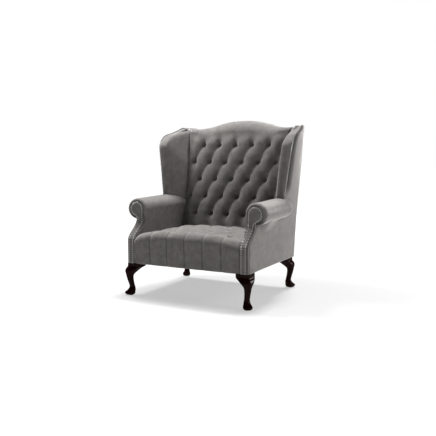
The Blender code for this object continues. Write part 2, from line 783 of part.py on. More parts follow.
def arm_facing(side, sign):
    """Nailed facing: an upright strip that rakes back into a round scroll"""
    rows = [(z, SEAT_FRONT_HALF + GAP, X_OUT - GAP) for z in facing_levels(ARM_LINE)[:-1]]
    for angle in spread(-SCROLL_TURN, SCROLL_TURN, 6):
        z = ROLL_Z + SCROLL_RADIUS * math.sin(angle)
        outer = ROLL_X + SCROLL_RADIUS * math.cos(angle)
        round_inner = ROLL_X - SCROLL_RADIUS * math.cos(angle)
        inner = min(round_inner, ROLL_X - SCROLL_RADIUS) if angle <= 0 else round_inner
        rows.append((z, inner, outer))
    front, rear = [], []
    for z, inner, outer in rows:
        places = spread(inner, outer, 3)
        front.append([(sign * x, facing_y(z), z) for x in places])
        rear.append([(sign * x, facing_y(z) + FACING, z) for x in places])
    slab(f"{side}_arm_facing", FABRIC, front, rear)


def outside_panel(side, sign):
    """Outside arm and wing in one cloth, cut out round the end of the arm roll"""
    wing_y = wing_panel_y(WING_BASE)
    notch_y = ROLL_END + GAP
    rear_base = panel_y(WING_BASE)
    behind = [notch_y] + spread(notch_y, rear_base, 4)[1:]
    wing_shares = [(y - wing_y) / (rear_base - wing_y) for y in [wing_y] + behind]
    ahead_cells = 4
    outer, inner, skipped = [], [], set()

    def add_row(places, heights):
        outer.append([(sign * side_x(y, z), y, z) for y, z in zip(places, heights)])
        inner.append([(sign * (side_x(y, z) - PANEL), y, z) for y, z in zip(places, heights)])

    for z in facing_levels(ARM_LINE)[:-1]:
        rear_shares = [(y - notch_y) / (rear_base - notch_y) for y in behind]
        places = spread(behind_facing(z), wing_y, ahead_cells)
        places += [lerp(notch_y, panel_y(z), share) for share in rear_shares]
        add_row(places, [z] * len(places))
    line_z = ARM_LINE - GAP
    places = spread(behind_facing(line_z), wing_y, ahead_cells)
    places += [lerp(notch_y, panel_y(line_z), share) for share in rear_shares]
    add_row(places, [roll_z(y) - ROLL_RADIUS - GAP for y in places])
    first_notch_row = len(outer) - 1
    for z in wing_levels():
        front = wing_panel_y(z)
        places = [front] * ahead_cells + [lerp(front, panel_y(z), share) for share in wing_shares]
        add_row(places, [z] * len(places))
    for i in range(first_notch_row, len(outer) - 1):
        skipped |= {(i, j) for j in range(ahead_cells)}
    skipped.add((first_notch_row, ahead_cells))
    slab(f"{side}_outside_panel", FABRIC, outer, inner, skipped=skipped)


def wing_pad(side, sign):
    """Inside wing and its rounded nose, wrapped round the front of the wing board and over its top"""
    levels = wing_levels() + [POST_TOP + 2 * GAP]

    def section(z):
        covered = z <= POST_TOP
        nail_y = wing_front_y(z)
        nose_y = nail_y - WING_NOSE
        outer = side_x(nail_y, z)
        inner = max(outer - WING_THICKNESS, back_half(z) + GAP)
        join_x = back_half(z)
        join_y = max(button_plane_y(SEAT_REAR_HALF, z), nose_y + 2 * WING_NOSE_ROUND)
        rear = pad_rear_y(z) if covered else panel_y(z)
        board_y = nail_y + WING_BOARD_SETBACK - GAP
        skin_x = board_in_x if covered else board_out_x
        flat = WING_NOSE_ROUND / 4
        middle_x = max((inner + join_x) / 2 - WING_BULGE * (1 - wing_sweep(z)), join_x)
        middle_y = (nose_y + WING_NOSE_ROUND + join_y) / 2
        points = [
            (outer, nail_y + PANEL_LAP),
            (outer - flat, nose_y + flat),
            (outer - WING_NOSE_ROUND, nose_y),
            (inner + WING_NOSE_ROUND, nose_y),
            (inner + flat, nose_y + flat),
            (inner, nose_y + WING_NOSE_ROUND),
            (middle_x, middle_y),
            (join_x, join_y),
            (join_x, rear),
            (skin_x(rear, z) - GAP, rear),
            (skin_x(board_y, z) - GAP, board_y),
            (board_out_x(board_y, z) - GAP, board_y - GAP),
            (board_out_x(nail_y, z) - GAP, nail_y + PANEL_LAP),
        ]
        return [(sign * x, y, z) for x, y in points]

    loft(f"{side}_wing_pad", FABRIC, [section(z) for z in sorted(levels)])


def outside_back():
    outer, inner = [], []
    for share in spread(0.0, 1.0, 7):
        places = [(x, lerp(BODY_BASE, crest_z(x) - CREST_LAP, share)) for x in spread(-X_OUT, X_OUT, 14)]
        outer.append([(x, rear_y(z), z) for x, z in places])
        inner.append([(x, rear_y(z) - PANEL, z) for x, z in places])
    slab("outside_back_panel", FABRIC, outer, inner)


def dust_cover():
    """Thin cloth under the frame, cut out round the legs"""
    high = BODY_BASE - GAP
    front = RAIL_SETBACK
    rear = REAR_RAIL_REAR
    inset = X_OUT - LEG_BLOCK - DUST_COVER_MARGIN
    leg_front = LEG_BLOCK + DUST_COVER_MARGIN
    leg_rear = BODY_DEPTH - REAR_LEG_INSET - LEG_BLOCK - DUST_COVER_MARGIN
    right = [
        (inset, front),
        (inset, leg_front),
        (X_FRAME_OUT, leg_front),
        (X_FRAME_OUT, leg_rear),
        (inset, leg_rear),
        (inset, rear),
    ]
    left = [(-x, y) for x, y in reversed(right)]
    prism("dust_cover", DUST_CLOTH, right + left, high - DUST_COVER, high)


# Legs and their fastenings
def leg_station(position):
    """Leg section between stations, on a smooth curve through them"""
    last = len(LEG_STATIONS) - 1
    i = min(int(position), last - 1)
    t = position - i
    picks = [LEG_STATIONS[min(max(i + k, 0), last)] for k in (-1, 0, 1, 2)]
    values = []
    for a, b, c, d in zip(*picks):
        values.append(b + 0.5 * t * (c - a + t * (2 * a - 5 * b + 4 * c - d + t * (3 * (b - c) + d - a))))
    share, centre, along, across, square = values
    return share, centre * LEG_BLOCK, along * LEG_BLOCK, across * LEG_BLOCK, square


def leg_corner(sign, toward):
    """Corner of the body over a leg, and the signs that point inwards from it"""
    y = 0.0 if toward > 0 else BODY_DEPTH - REAR_LEG_INSET
    return Vector((sign * X_OUT, y, 0.0)), -sign, toward


def leg_place(sign, toward, inward, across, z):
    corner, inward_x, inward_y = leg_corner(sign, toward)
    root = math.sqrt(2)
    return corner + Vector((inward_x * (inward + across) / root, inward_y * (inward - across) / root, z))


def cabriole_leg(name, sign, toward):
    low = GLIDE_HEIGHT + GAP
    height = BODY_BASE - GAP
    sections = []
    steps = (len(LEG_STATIONS) - 1) * LEG_STEPS
    for step in range(steps + 1):
        share, centre, along_size, across_size, square = leg_station(step / LEG_STEPS)
        z = max(share * height, low)
        ring = []
        for k in range(LEG_SIDES):
            angle = 2 * math.pi * (k + 0.5) / LEG_SIDES
            c, s = math.cos(angle), math.sin(angle)
            reach = (abs(c) ** square + abs(s) ** square) ** (-1 / square)
            along = (c + s) * reach / math.sqrt(2)
            across = (c - s) * reach / math.sqrt(2)
            ring.append(leg_place(sign, toward, centre + along * along_size, across * across_size, z))
        sections.append(ring)
    return loft(name, MAHOGANY, sections)


def glide(name, sign, toward):
    centre = LEG_STATIONS[-1][1] * LEG_BLOCK
    edge = GLIDE_HEIGHT / 4
    profile = [
        (0.0, GLIDE_HEIGHT),
        (GLIDE_RADIUS, GLIDE_HEIGHT),
        (GLIDE_RADIUS, edge),
        (GLIDE_RADIUS - edge, 0.0),
        (0.0, 0.0),
    ]
    turned(name, NYLON, profile, leg_place(sign, toward, centre, 0.0, 0.0))


def bolt_place(sign, toward):
    corner, inward_x, inward_y = leg_corner(sign, toward)
    inset = BOLT_INSET if toward > 0 else REAR_BOLT_INSET
    return corner + Vector((inward_x * inset, inward_y * BOLT_INSET, 0.0))


def corner_block(name, sign, toward):
    """Triangular block in a corner of the base frame"""
    x = X_PAD_OUT if toward > 0 else X_POST_IN - GAP
    y = RAIL_SETBACK + RAIL + GAP if toward > 0 else REAR_RAIL_FRONT - GAP
    outline = [
        (sign * x, y),
        (sign * (x - BLOCK_LEG), y),
        (sign * x, y + toward * BLOCK_LEG),
    ]
    return prism(name, BEECH, outline, BODY_BASE, BODY_BASE + BLOCK_HEIGHT)


def leg_bolt(name, sign, toward):
    """Bolt through the corner block into the leg, with its nut on the block"""
    seat = BODY_BASE + BLOCK_HEIGHT + GAP
    profile = [
        (0.0, seat + NUT_HEIGHT),
        (NUT_RADIUS, seat + NUT_HEIGHT),
        (NUT_RADIUS, seat),
        (BOLT_RADIUS, seat),
        (BOLT_RADIUS, BODY_BASE - BOLT_DEPTH),
        (0.0, BODY_BASE - BOLT_DEPTH),
    ]
    turned(name, STEEL, profile, bolt_place(sign, toward))


def bolt_hole(name, sign, toward, targets):
    """Cutter for the bolt's hole in the corner block and the leg"""
    low = BODY_BASE - BOLT_DEPTH - GAP
    high = BODY_BASE + BLOCK_HEIGHT + RAIL
    place = bolt_place(sign, toward) + Vector((0, 0, (low + high) / 2))
    bm = bmesh.new()
    radius = BOLT_RADIUS + GAP
    bmesh.ops.create_cone(
        bm,
        cap_ends=True,
        segments=TURNED_SIDES,
        radius1=radius,
        radius2=radius,
        depth=high - low,
        matrix=Matrix.Translation(place),
    )
    mesh = bpy.data.meshes.new(name)
    bm.to_mesh(mesh)
    bm.free()
    cutter = bpy.data.objects.new(name, mesh)
    CUTTERS.objects.link(cutter)
    cutter.parent = CARRIER
    cutter.hide_render = True
    cutter.display_type = "WIRE"
    for target in targets:
        cut = target.modifiers.new("bolt_hole", "BOOLEAN")
        cut.operation = "DIFFERENCE"
        cut.object = cutter


def legs():
    for end, toward in ENDS:
        for side, sign in SIDES:
            corner = f"{end}_{side}"
            leg = cabriole_leg(f"{corner}_leg", sign, toward)
            block = corner_block(f"{corner}_corner_block", sign, toward)
            glide(f"{corner}_glide", sign, toward)
            leg_bolt(f"{corner}_leg_bolt", sign, toward)
            bolt_hole(f"{corner}_bolt_hole", sign, toward, (leg, block))


def centre_over_origin():
    """Set the middle of the chair's length over the origin"""
    bpy.context.view_layer.update()
    depsgraph = bpy.context.evaluated_depsgraph_get()
    reach = []
    for piece in PARTS.objects:
        if piece.type == "MESH":
            solid = piece.evaluated_get(depsgraph)
            reach += [(solid.matrix_world @ vertex.co).y for vertex in solid.data.vertices]
    CARRIER.location.y = -(min(reach) + max(reach)) / 2
    print(f"front of the body at y = {CARRIER.location.y:.4f}")


clear_scene()
PARTS = fresh_collection(PART_NAME)
CUTTERS = fresh_collection("cutters")
CARRIER = bpy.data.objects.new("carrier", None)
PARTS.objects.link(CARRIER)

FABRIC = make_material("grey_velvet", (0.15, 0.142, 0.137), 0.9)
MAHOGANY = make_material("dark_mahogany", (0.022, 0.006, 0.005), 0.22)
BEECH = make_material("beech", (0.55, 0.38, 0.22), 0.6)
STEEL = make_material("spring_steel", (0.35, 0.35, 0.36), 0.35, 1.0)
WEBBING = make_material("webbing", (0.32, 0.25, 0.16), 0.9)
NYLON = make_material("nylon", (0.04, 0.04, 0.04), 0.5)
DUST_CLOTH = make_material("dust_cloth", (0.02, 0.02, 0.02), 0.95)

base_frame()
back_rails()
for label, direction in SIDES:
    front_post(label, direction)
    arm_rail(label, direction)
    rear_post(label, direction)
    wing_board(label, direction)
    arm_pad(label, direction)
    arm_facing(label, direction)
    outside_panel(label, direction)
    wing_pad(label, direction)
for index in range(SPRINGS):
    seat_spring(f"seat_spring_{index + 1}", (index - (SPRINGS - 1) / 2) * SPRING_SPACING)
for index, strap_z in enumerate(spread(STRAP_LOW_Z, STRAP_HIGH_Z, STRAPS - 1)):
    back_strap(f"back_strap_{index + 1}", strap_z)
back_pad()
seat_pad()
outside_back()
dust_cover()
legs()
centre_over_origin()
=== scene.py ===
"""Looks of the buttoned wing chair: upholstery, buttons, nails, legs, finishes, floor, light and camera.

Metres, +Z up, the chair faces -Y and right is +X. Shapes are laid out from the front of the body (y = 0) and
the floor, as the frame's pieces are, and BODY_FRONT carries them to the frame's place.
"""
import math

import bmesh
import bpy
import numpy as np
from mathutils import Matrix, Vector


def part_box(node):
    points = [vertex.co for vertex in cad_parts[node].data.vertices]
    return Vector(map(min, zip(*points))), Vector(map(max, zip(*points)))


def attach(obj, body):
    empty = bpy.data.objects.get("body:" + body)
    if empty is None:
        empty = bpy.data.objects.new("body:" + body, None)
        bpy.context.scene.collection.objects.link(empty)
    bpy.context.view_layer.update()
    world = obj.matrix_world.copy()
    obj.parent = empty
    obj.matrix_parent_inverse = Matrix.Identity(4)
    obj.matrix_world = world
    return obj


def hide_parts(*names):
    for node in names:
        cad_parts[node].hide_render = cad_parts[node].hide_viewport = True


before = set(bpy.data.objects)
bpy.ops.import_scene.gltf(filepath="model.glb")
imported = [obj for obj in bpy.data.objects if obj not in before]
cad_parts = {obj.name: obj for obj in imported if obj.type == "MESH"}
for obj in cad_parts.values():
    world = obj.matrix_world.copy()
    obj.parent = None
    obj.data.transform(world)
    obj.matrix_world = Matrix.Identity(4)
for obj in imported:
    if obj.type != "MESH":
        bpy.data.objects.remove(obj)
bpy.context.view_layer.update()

# Clearances between pieces, and along a seam between two padded pieces
GAP = 0.0003
SEAM = 0.0008

# Places taken from the frame
FACING_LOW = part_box("right_arm_facing")[0]
BACK_LOW, BACK_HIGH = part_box("outside_back_panel")
SPRING_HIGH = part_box("seat_spring_1")[1]
COVER_LOW, COVER_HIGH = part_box("dust_cover")
BODY_FRONT = FACING_LOW.y
BODY_BASE = BACK_LOW.z
X_OUT = BACK_HIGH.x
DECK = SPRING_HIGH.z + GAP

# Body
BODY_DEPTH = 0.749
PANEL = 0.012
FACING = 0.010
BACK_FULLNESS = 0.010
BACK_BOW = 0.012
BACK_BOW_LOW = 0.450
BACK_EDGE = 0.004
REAR_SLOPE = 0.13
REAR_SWEEP = 0.055
RAIL_SETBACK = 0.022
X_PAD_OUT = X_OUT - 0.0376
X_FRAME_OUT = X_OUT - PANEL - GAP
PAD_REAR = PANEL + BACK_FULLNESS + 0.0534

# Buttoning
BUTTON_PITCH = 0.1285
PUFF = 0.023
PUFF_POWER = 0.80
FOLD_RISE = 0.42
FOLD_START = 0.010
FOLD_RUN = 0.055
FOLD_ROUND = 0.22
FOLD_SLACK = 0.46
FLUTE_POWER = 0.20
DIMPLE = 0.025
DIMPLE_RADIUS = 0.0165
DIMPLE_POWER = 2.8
BUTTON_RADIUS = 0.0100
BUTTON_HEIGHT = 0.0060
BUTTON_POWER = 0.8
BUTTON_RAISE = 0.003
DOME_SUNK = 0.4
EDGE_SHARE = 0.50
EDGE_FLUTE = 2.5
EDGE_FLUTE_RATE = 2
EDGE_RUN = 0.085
EDGE_BAND = 0.02

# Unevenness of the filling: four sines, each by its rates along two coordinates and its phase
WOBBLE = 0.0012
WOBBLE_QUICK = 0.6
WOBBLE_SINES = ((23.0, 9.0, 0.7), (-11.0, 19.0, 1.9), (61.0, -37.0, 2.3), (29.0, 53.0, 0.4))

# Back
BACK_ROWS = 5
BACK_ROW_STEP = 0.1204
TOP_BUTTON_Z = 0.9916
TOP_BUTTON_Y = 0.7172
BACK_RAKE = 0.2723
BACK_CROWN = 0.012
BACK_BOTTOM = 0.335
BACK_PLEATS_LOW = 0.350
BACK_PLEATS_HIGH = 0.410
CREST_SHOULDER = 1.110
CREST_HUMP = 0.057
CREST_HUMP_HALF = X_OUT - 0.078
CREST_HUMP_FLAT = 2.6
CREST_HUMP_POWER = 2.4
CREST_CORNER = 0.010
CREST_ROLL_HEIGHT = 0.085
CREST_ROLL_DEPTH = 0.140
CREST_FALL = 0.016
CREST_LAP = 0.017
CREST_REAR_LAP = 0.002
CORNER_START = X_OUT - 0.032
CORNER_LAP = 0.0015
CREST_PAD = 0.050
CREST_TIGHT = 0.35
CREST_TIGHT_START = 0.20
CREST_TIGHT_RUN = 0.17
CREST_PLEATS = 0.12
PLEAT_FADE = 0.80
PLEAT_HEIGHT = 0.09

# Seat
SEAT_REAR_HALF = X_OUT - 0.080
SEAT_FRONT_HALF = SEAT_REAR_HALF + 0.021
BUTTON_REACH = SEAT_REAR_HALF - DIMPLE_RADIUS
SEAT_FRONT_FLARE = 0.010
SEAT_FLARE_DEPTH = 0.090
SEAT_TOP = 0.424
SEAT_BULGE = 0.003
SEAT_BOW = 0.006
SEAT_BOW_LOW = 0.4
SEAT_SETBACK = 0.010
SEAT_REAR_GAP = 0.018
SEAT_REAR_FADE = 1.3
SEAT_EDGE = 0.045
SEAT_SIDE_DROP = 0.042
SEAT_SIDE_POWER = 4
SEAT_ROWS = 4
SEAT_FIRST_ROW = 0.115
SEAT_ROW_STEP = 0.115
SEAT_PUFF = 0.014
SEAT_POWER = 0.40
SEAT_DENT = 0.7
SEAT_FLUTE_FADE = 0.75
# Painted shade along the seams of the front border
SEAT_SEAM_SHADE = 0.55
SEAT_SEAM_WIDTH = 0.006
SEAT_TUCK = 0.004
SEAT_TUCK_WIDTH = 0.012

# Scroll arms, with angles in degrees
ROLL_X = X_OUT - 0.002
ROLL_Z = 0.5625
ROLL_RADIUS = 0.068
ROLL_REACH = 0.076
ROLL_RISE = 0.0115
ROLL_OVERHANG = 0.008
ROLL_FROM = 190.0
ROLL_TO = -90.0
ROLL_TUCK = 0.4
ROLL_NOSE = 0.020
ROLL_NOSE_FROM = -75.0
ROLL_NOSE_SPAN = 35.0
ROLL_FLAT = 0.40
ROLL_FRONT_SHARES = (0.0, 0.02, 0.08, 0.16, 0.24, 0.32, ROLL_FLAT)
ROLL_FRONT_STEP = 0.003
ROLL_FRONT_EASE = 0.001
ROLL_END = 0.575
ROLL_CAP = 0.065
ROLL_CAP_FLAT = 0.35
ROLL_CAP_BLEND = 0.03
ARM_END = 0.618
ARM_LINE = ROLL_Z - ROLL_RADIUS
GATHER = 0.0012
GATHER_LOW = 0.4
GATHER_RATE = 4
GATHERS = 34
# Painted shade under the arm roll, by the angle round the roll
UNDER_ROLL = -15.0
UNDER_ROLL_SPAN = 45.0
UNDER_ROLL_SHADE = 0.8

# Facings of the arms
FACING_SETBACK = 0.100
ROLL_LIP = FACING_SETBACK + 0.0035
SCROLL_RADIUS = 0.048
SCROLL_TOP = 86.0
SCROLL_FLARE_DROP = 0.03
SCROLL_FLARE_SPAN = 0.05
FACING_RAKE_LOW = 0.365
FACING_PAD = 0.0015
FACING_PAD_RUN = 0.03
FACING_FORWARD = 0.005
FACING_RIM = 0.0005
FACING_EDGE = 0.004
FACING_EDGE_FALL = 0.003
FACING_CORNER = 0.011
# Painted shade along the outer edge of the facings
FACING_PAINTED_SHADE = 0.6
FACING_PAINTED_SHADE_START = 0.008
FACING_PAINTED_SHADE_WIDTH = 0.016
NAIL_RING = 0.0415
NAIL_RING_FROM = 180.0
NAIL_RING_TO = -72.0
NAIL_RING_GAP = 0.02
NAIL_INSET = 0.008
NAIL_INNER_INSET = 0.005
NAIL_OUTER_INSET = 0.015
NAIL_PROUD = 0.0008
SLOPE_ABOVE = 0.1

# Lip of the outside cover under the arm roll
LIP_ANGLE = math.radians(46)
LIP_HEIGHT = 0.110
LIP_POWER = 1.8
LIP_FADE = 0.006
LIP_OUT = 0.002
LIP_START = FACING_SETBACK + 0.010
LIP_GROW = 0.140
LIP_END = 0.200
LIP_SHRINK = 0.300

# Wings
WING_BASE = ROLL_Z + ROLL_RISE + ROLL_RADIUS + GAP
WING_FRONT_Y = 0.480
WING_FRONT_SLOPE = 0.050
WING_SWEEP = 0.200
WING_SWEEP_POWER = 2.0
WING_SWEEP_Z = 0.965
WING_CURL = 0.062
WING_CURL_START = 0.55
WING_CURL_SPAN = 0.30
WING_TOP = 1.120
WING_LEAN = 0.127
WING_LEAN_Z = 0.390
WING_LEAN_FADE = 1.6
WING_NOSE = 0.021
WING_NOSE_POWER = 0.85
WING_THICKNESS = 0.068
WING_FOOT_THICKNESS = 0.056
WING_FOOT_HEIGHT = 0.25
WING_SETTLE = 0.3
WING_WALL = 0.6
WING_WALL_LEAST = 0.001
WING_WALL_RATE = 2.5
WING_WALL_START = 1.0
WING_RIM = 0.06
WING_BULGE = 0.010
WING_FLARE = 0.046
WING_FLARE_HEIGHT = 0.490
WING_FLARE_POWER = 1.6
WING_JOIN_DEPTH = 0.030
WING_JOIN_RISE = 0.004
WING_JOIN_DROP = 0.012
WING_EASE = 60
WING_EASE_LOW = 0.025
WING_EASE_RATE = 1.5
WING_EASE_POWER = 2
WING_TOP_PUFF = 0.08
WING_PUFF_POWER = 4
WING_TOP_DROP = 0.020
WING_DROP_Z = 1.075
WING_DROP_POWER = 1.5
# Painted shade on the wing's border beside the nails
WING_PAINTED_SHADE_COLUMNS = 5
WING_PAINTED_SHADE_SWEEP = 1.5

# Outside covers
PANEL_LAP = 0.003
SIDE_FULLNESS = 0.004
WING_FULLNESS = 0.010
WING_ROUND = 0.060
WING_ROUND_WIDTH = 0.085
WING_REAR_FADE = 0.030
ARM_ROUND = 0.004
ARM_ROUND_WIDTH = 0.060
COVER_EDGE = 0.0015
# Painted shade on the outside cover behind the wing's nails
COVER_PAINTED_SHADE_START = 0.020
COVER_PAINTED_SHADE_WIDTH = 0.090

# Nails
NAIL_PITCH = 0.0140
NAIL_RADIUS = 0.0040
NAIL_HEIGHT = 0.0030
# Painted shade, with more roughness, on the nails near the tops of the wings
NAIL_DULL_SHADE_Z = 0.970
NAIL_DULL_SHADE_SPAN = 0.060
NAIL_TILT = 0.8
NAIL_SINK = 0.0005
NAIL_OUT = 0.001

# Dust cover
DUST_SAG = 0.004
DUST_CLOTH_THICKNESS = 0.001
DUST_LEG_GAP = 0.002

# Legs: share of the leg's height, then in widths of the knee block the centre along the inward diagonal and
# the half sizes along and across it, then squareness (2 is round)
LEG_BLOCK = 0.090
REAR_LEG_INSET = 0.015
FRONT_LEG_OUT = 0.006
GLIDE_HEIGHT = 0.004
LEG_STATIONS = (
    (1.000, 0.707, 0.500, 0.500, 14.0),
    (0.890, 0.690, 0.500, 0.500, 12.0),
    (0.830, 0.490, 0.460, 0.460, 7.0),
    (0.744, 0.318, 0.400, 0.388, 4.0),
    (0.628, 0.194, 0.265, 0.253, 2.8),
    (0.507, 0.212, 0.229, 0.218, 2.3),
    (0.358, 0.294, 0.206, 0.198, 2.0),
    (0.260, 0.347, 0.209, 0.200, 2.0),
    (0.170, 0.306, 0.282, 0.249, 2.0),
    (0.095, 0.188, 0.376, 0.315, 2.0),
    (0.055, 0.182, 0.371, 0.312, 2.0),
    (0.020, 0.194, 0.282, 0.261, 2.0),
)

# Fineness of the meshes: cells, rows, points or steps
CELLS = 20
EDGE_CELLS = 8
MOST_COLUMNS = 9
BUTTON_SIDES = 24
BUTTON_RINGS = 7
BACK_BELOW = 17
BACK_ABOVE = 10
CREST_TURNS = 26
CREST_FALLS = 8
SEAT_BORDER_ROWS = 30
SEAT_TURNS = 24
SEAT_LEAD = 11
ARM_LEVELS = 22
ROLL_POINTS = 97
ROLL_NOSE_TURNS = 13
ROLL_LENGTHS = 33
ROLL_CAP_TURNS = 16
FACING_ROWS = 60
FACING_COLUMNS = 21
SCROLL_ROWS = 48
NAIL_ROW_STEPS = 200
NAIL_RING_STEPS = 240
LINE_STEPS = 400
WING_TOP_STEPS = 59
WING_POINTS = 96
WING_LINE_EASE = 4
WING_NOSE_POINTS = 25
WING_FACE_STEPS = 21
COVER_AHEAD = 44
COVER_BEHIND = 48
COVER_ARM_ROWS = 44
COVER_NOTCH_ROWS = 25
COVER_WING_ROWS = 59
COVER_FLAT_COLUMNS = 12
RIM_BATCH = 64
OUTSIDE_BACK_CELLS = 120
LEG_SIDES = 64
LEG_STEPS = 8
DUST_LEG_CELLS = 8
DUST_ACROSS = 60
DUST_ALONG = 48

SIDES = (("left", -1), ("right", 1))
ENDS = (("front", 1), ("rear", -1))
QUARTER_TURN = math.pi / 2
TINY = 1e-9

# Floor, and how its glow grows with the distance from the middle
FLOOR_HALF = 40.0
FLOOR_GREY = (0.26, 0.26, 0.26, 1.0)
FLOOR_GLOW = {"From Min": 0.45, "From Max": 1.9, "To Min": 0.49, "To Max": 0.66}

# Light of the background on the chair, and as the camera sees it
WHITE = (1.0, 1.0, 1.0, 1.0)
WORLD_CAST = 0.03
WORLD_SEEN = 1.0

# Camera, aimed from the photograph's viewing angle, in degrees
CAMERA_AZIMUTH = 28.0245
CAMERA_ELEVATION = 5.9512
CAMERA_DISTANCE = 3.9178
CAMERA_TARGET = (0.0527, 0.3420, 0.5024)
CAMERA_LENS = 48.74
CAMERA_SENSOR = 36.0


def lerp(a, b, t):
    return a + (b - a) * t


def clamp(t):
    return np.clip(t, 0.0, 1.0)


def smooth(t):
    t = clamp(t)
    return t * t * (3 - 2 * t)


def rounded(share):
    """Fall of a round edge at a share of its width: 1 at the rim, 0 from the full width on"""
    near = 1 - clamp(share)
    return 1 - np.sqrt(1 - near ** 2)


def shares(count):
    """Even steps up to 1"""
    return np.linspace(0.0, 1.0, count + 1)[1:]


def quarter(count):
    """Even steps up to a quarter turn"""
    return np.linspace(0.0, QUARTER_TURN, count + 1)[1:]


def joined(*parts):
    """Coordinates side by side, as points"""
    return np.stack(parts, axis=-1)


# Surfaces that the pieces share
def frame_rear_y(z):
    """Rear of the frame, raked and swept a little at the top"""
    rise = z - BODY_BASE
    return BODY_DEPTH + BACK_FULLNESS + REAR_SLOPE * rise + REAR_SWEEP * rise * rise


def rear_y(z):
    """Outside back, bowed out between the seat and the crest"""
    share = clamp((z - BACK_BOW_LOW) / (WING_TOP - BACK_BOW_LOW))
    return frame_rear_y(z) + BACK_BOW * np.sin(math.pi * share) ** 2


def panel_y(z):
    return rear_y(z) - PANEL - GAP


def neck_share(z):
    """Share of the facing's way from its upright strip to the scroll"""
    return smooth((z - FACING_RAKE_LOW) / (ARM_LINE - FACING_RAKE_LOW))


def facing_y(z):
    """Front of the arm facings: upright at the base, then raked back to the scroll"""
    return FACING_SETBACK * neck_share(z)


def facing_front_y(z):
    """Padded front of the facings, fullest at the base"""
    return facing_y(z) - FACING_FORWARD * (1 - neck_share(z))


def behind_facing(z):
    return facing_y(z) + FACING + GAP


def button_plane_y(x, z):
    """Plane in which the back's buttons lie, crowned forward in the middle"""
    plane = TOP_BUTTON_Y + BACK_RAKE * (z - TOP_BUTTON_Z)
    return plane - BACK_CROWN * (1 - (x / SEAT_REAR_HALF) ** 2)


def crest_z(x):
    """Top line of the back: a hump between two shoulders, flicked up at the corners"""
    share = np.minimum(np.abs(x) / CREST_HUMP_HALF, 1.0)
    past = np.maximum(np.abs(x) - CREST_HUMP_HALF, 0.0) / (X_OUT - CREST_HUMP_HALF)
    hump = CREST_HUMP * (1 - share ** CREST_HUMP_FLAT) ** CREST_HUMP_POWER
    return CREST_SHOULDER + hump + CREST_CORNER * past ** 2


def back_top_z(x):
    """Top edge of the outside back: under the crest, and up to the end of the wing at the corners"""
    corner = clamp((np.abs(x) - CORNER_START) / (X_OUT - CORNER_START))
    return crest_z(x) - lerp(CREST_LAP, CORNER_LAP, corner)


def crest_roll(x):
    """Share of the crest's full roll, which tightens towards the corners"""
    return lerp(1.0, CREST_TIGHT, smooth((np.abs(x) - CREST_TIGHT_START) / CREST_TIGHT_RUN))


def seat_half(y):
    """Half the width between the inside arms, which close in towards the back"""
    flare = SEAT_FRONT_FLARE * (1 - smooth(y / SEAT_FLARE_DEPTH))
    return lerp(SEAT_FRONT_HALF, SEAT_REAR_HALF, clamp(y / ARM_END)) + flare


def back_half(z):
    """Half the width between the wings where they meet the back"""
    share = np.maximum(z - WING_BASE, 0.0) / WING_FLARE_HEIGHT
    return SEAT_REAR_HALF + WING_FLARE * share ** WING_FLARE_POWER


def roll_share(y):
    return clamp((y - FACING_SETBACK) / (ROLL_END - FACING_SETBACK))


def roll_z(y):
    """Height of the arm roll's centre, rising a little to the back"""
    return ROLL_Z + ROLL_RISE * roll_share(y)


def roll_inner_radius(y):
    """Reach of the arm roll inwards from its centre"""
    return ROLL_X - seat_half(y) + ROLL_OVERHANG * (1 - roll_share(y))


def roll_top_z(x, y):
    """Upper surface of the arm roll"""
    reach = np.where(x < ROLL_X, roll_inner_radius(y), ROLL_REACH)
    share = clamp(np.abs(x - ROLL_X) / reach)
    return roll_z(y) + ROLL_RADIUS * np.sqrt(1 - share ** 2)


def wing_sweep(z):
    return clamp((z - WING_SWEEP_Z) / (WING_TOP - WING_SWEEP_Z))


def wing_front_y(z):
    """Nail line of the wing: almost upright, swept back round a lobe, then levelling out to the crest"""
    sweep = WING_SWEEP * wing_sweep(z) ** WING_SWEEP_POWER
    curl = WING_CURL * smooth((wing_sweep(z) - WING_CURL_START) / WING_CURL_SPAN)
    return WING_FRONT_Y + WING_FRONT_SLOPE * (z - WING_BASE) + sweep + curl


def side_x(y, z):
    """Outside of the chair: upright at the base and the rear, leaning out towards the front of the wings"""
    rise = np.maximum(z - WING_LEAN_Z, 0.0)
    behind = clamp((y - WING_FRONT_Y) / (panel_y(z) - WING_FRONT_Y))
    ahead = clamp((y - FACING_SETBACK) / (WING_FRONT_Y - FACING_SETBACK))
    return X_OUT + WING_LEAN * rise * ahead * (1 - behind ** WING_LEAN_FADE)


# Buttoning
def from_button(x, row, last_row, row_step):
    """Distance from the nearest button of the pad"""
    nearest = np.full(np.shape(x), np.inf)
    for step in (-1, 0, 1):
        level = np.clip(np.round(row) + step, 0, last_row)
        offset = 0.5 * (level % 2)
        button_x = (np.round(x / BUTTON_PITCH - offset) + offset) * BUTTON_PITCH
        distance = np.hypot(x - button_x, (row - level) * row_step)
        nearest = np.minimum(nearest, np.where(np.abs(button_x) <= BUTTON_REACH, distance, np.inf))
    return nearest


def fold(turns):
    """Rise from a fold at each whole turn to a crest between, round at the bottom"""
    rise = np.hypot(np.sin(math.pi * turns), FOLD_ROUND) - FOLD_ROUND
    return rise / (math.hypot(1.0, FOLD_ROUND) - FOLD_ROUND)


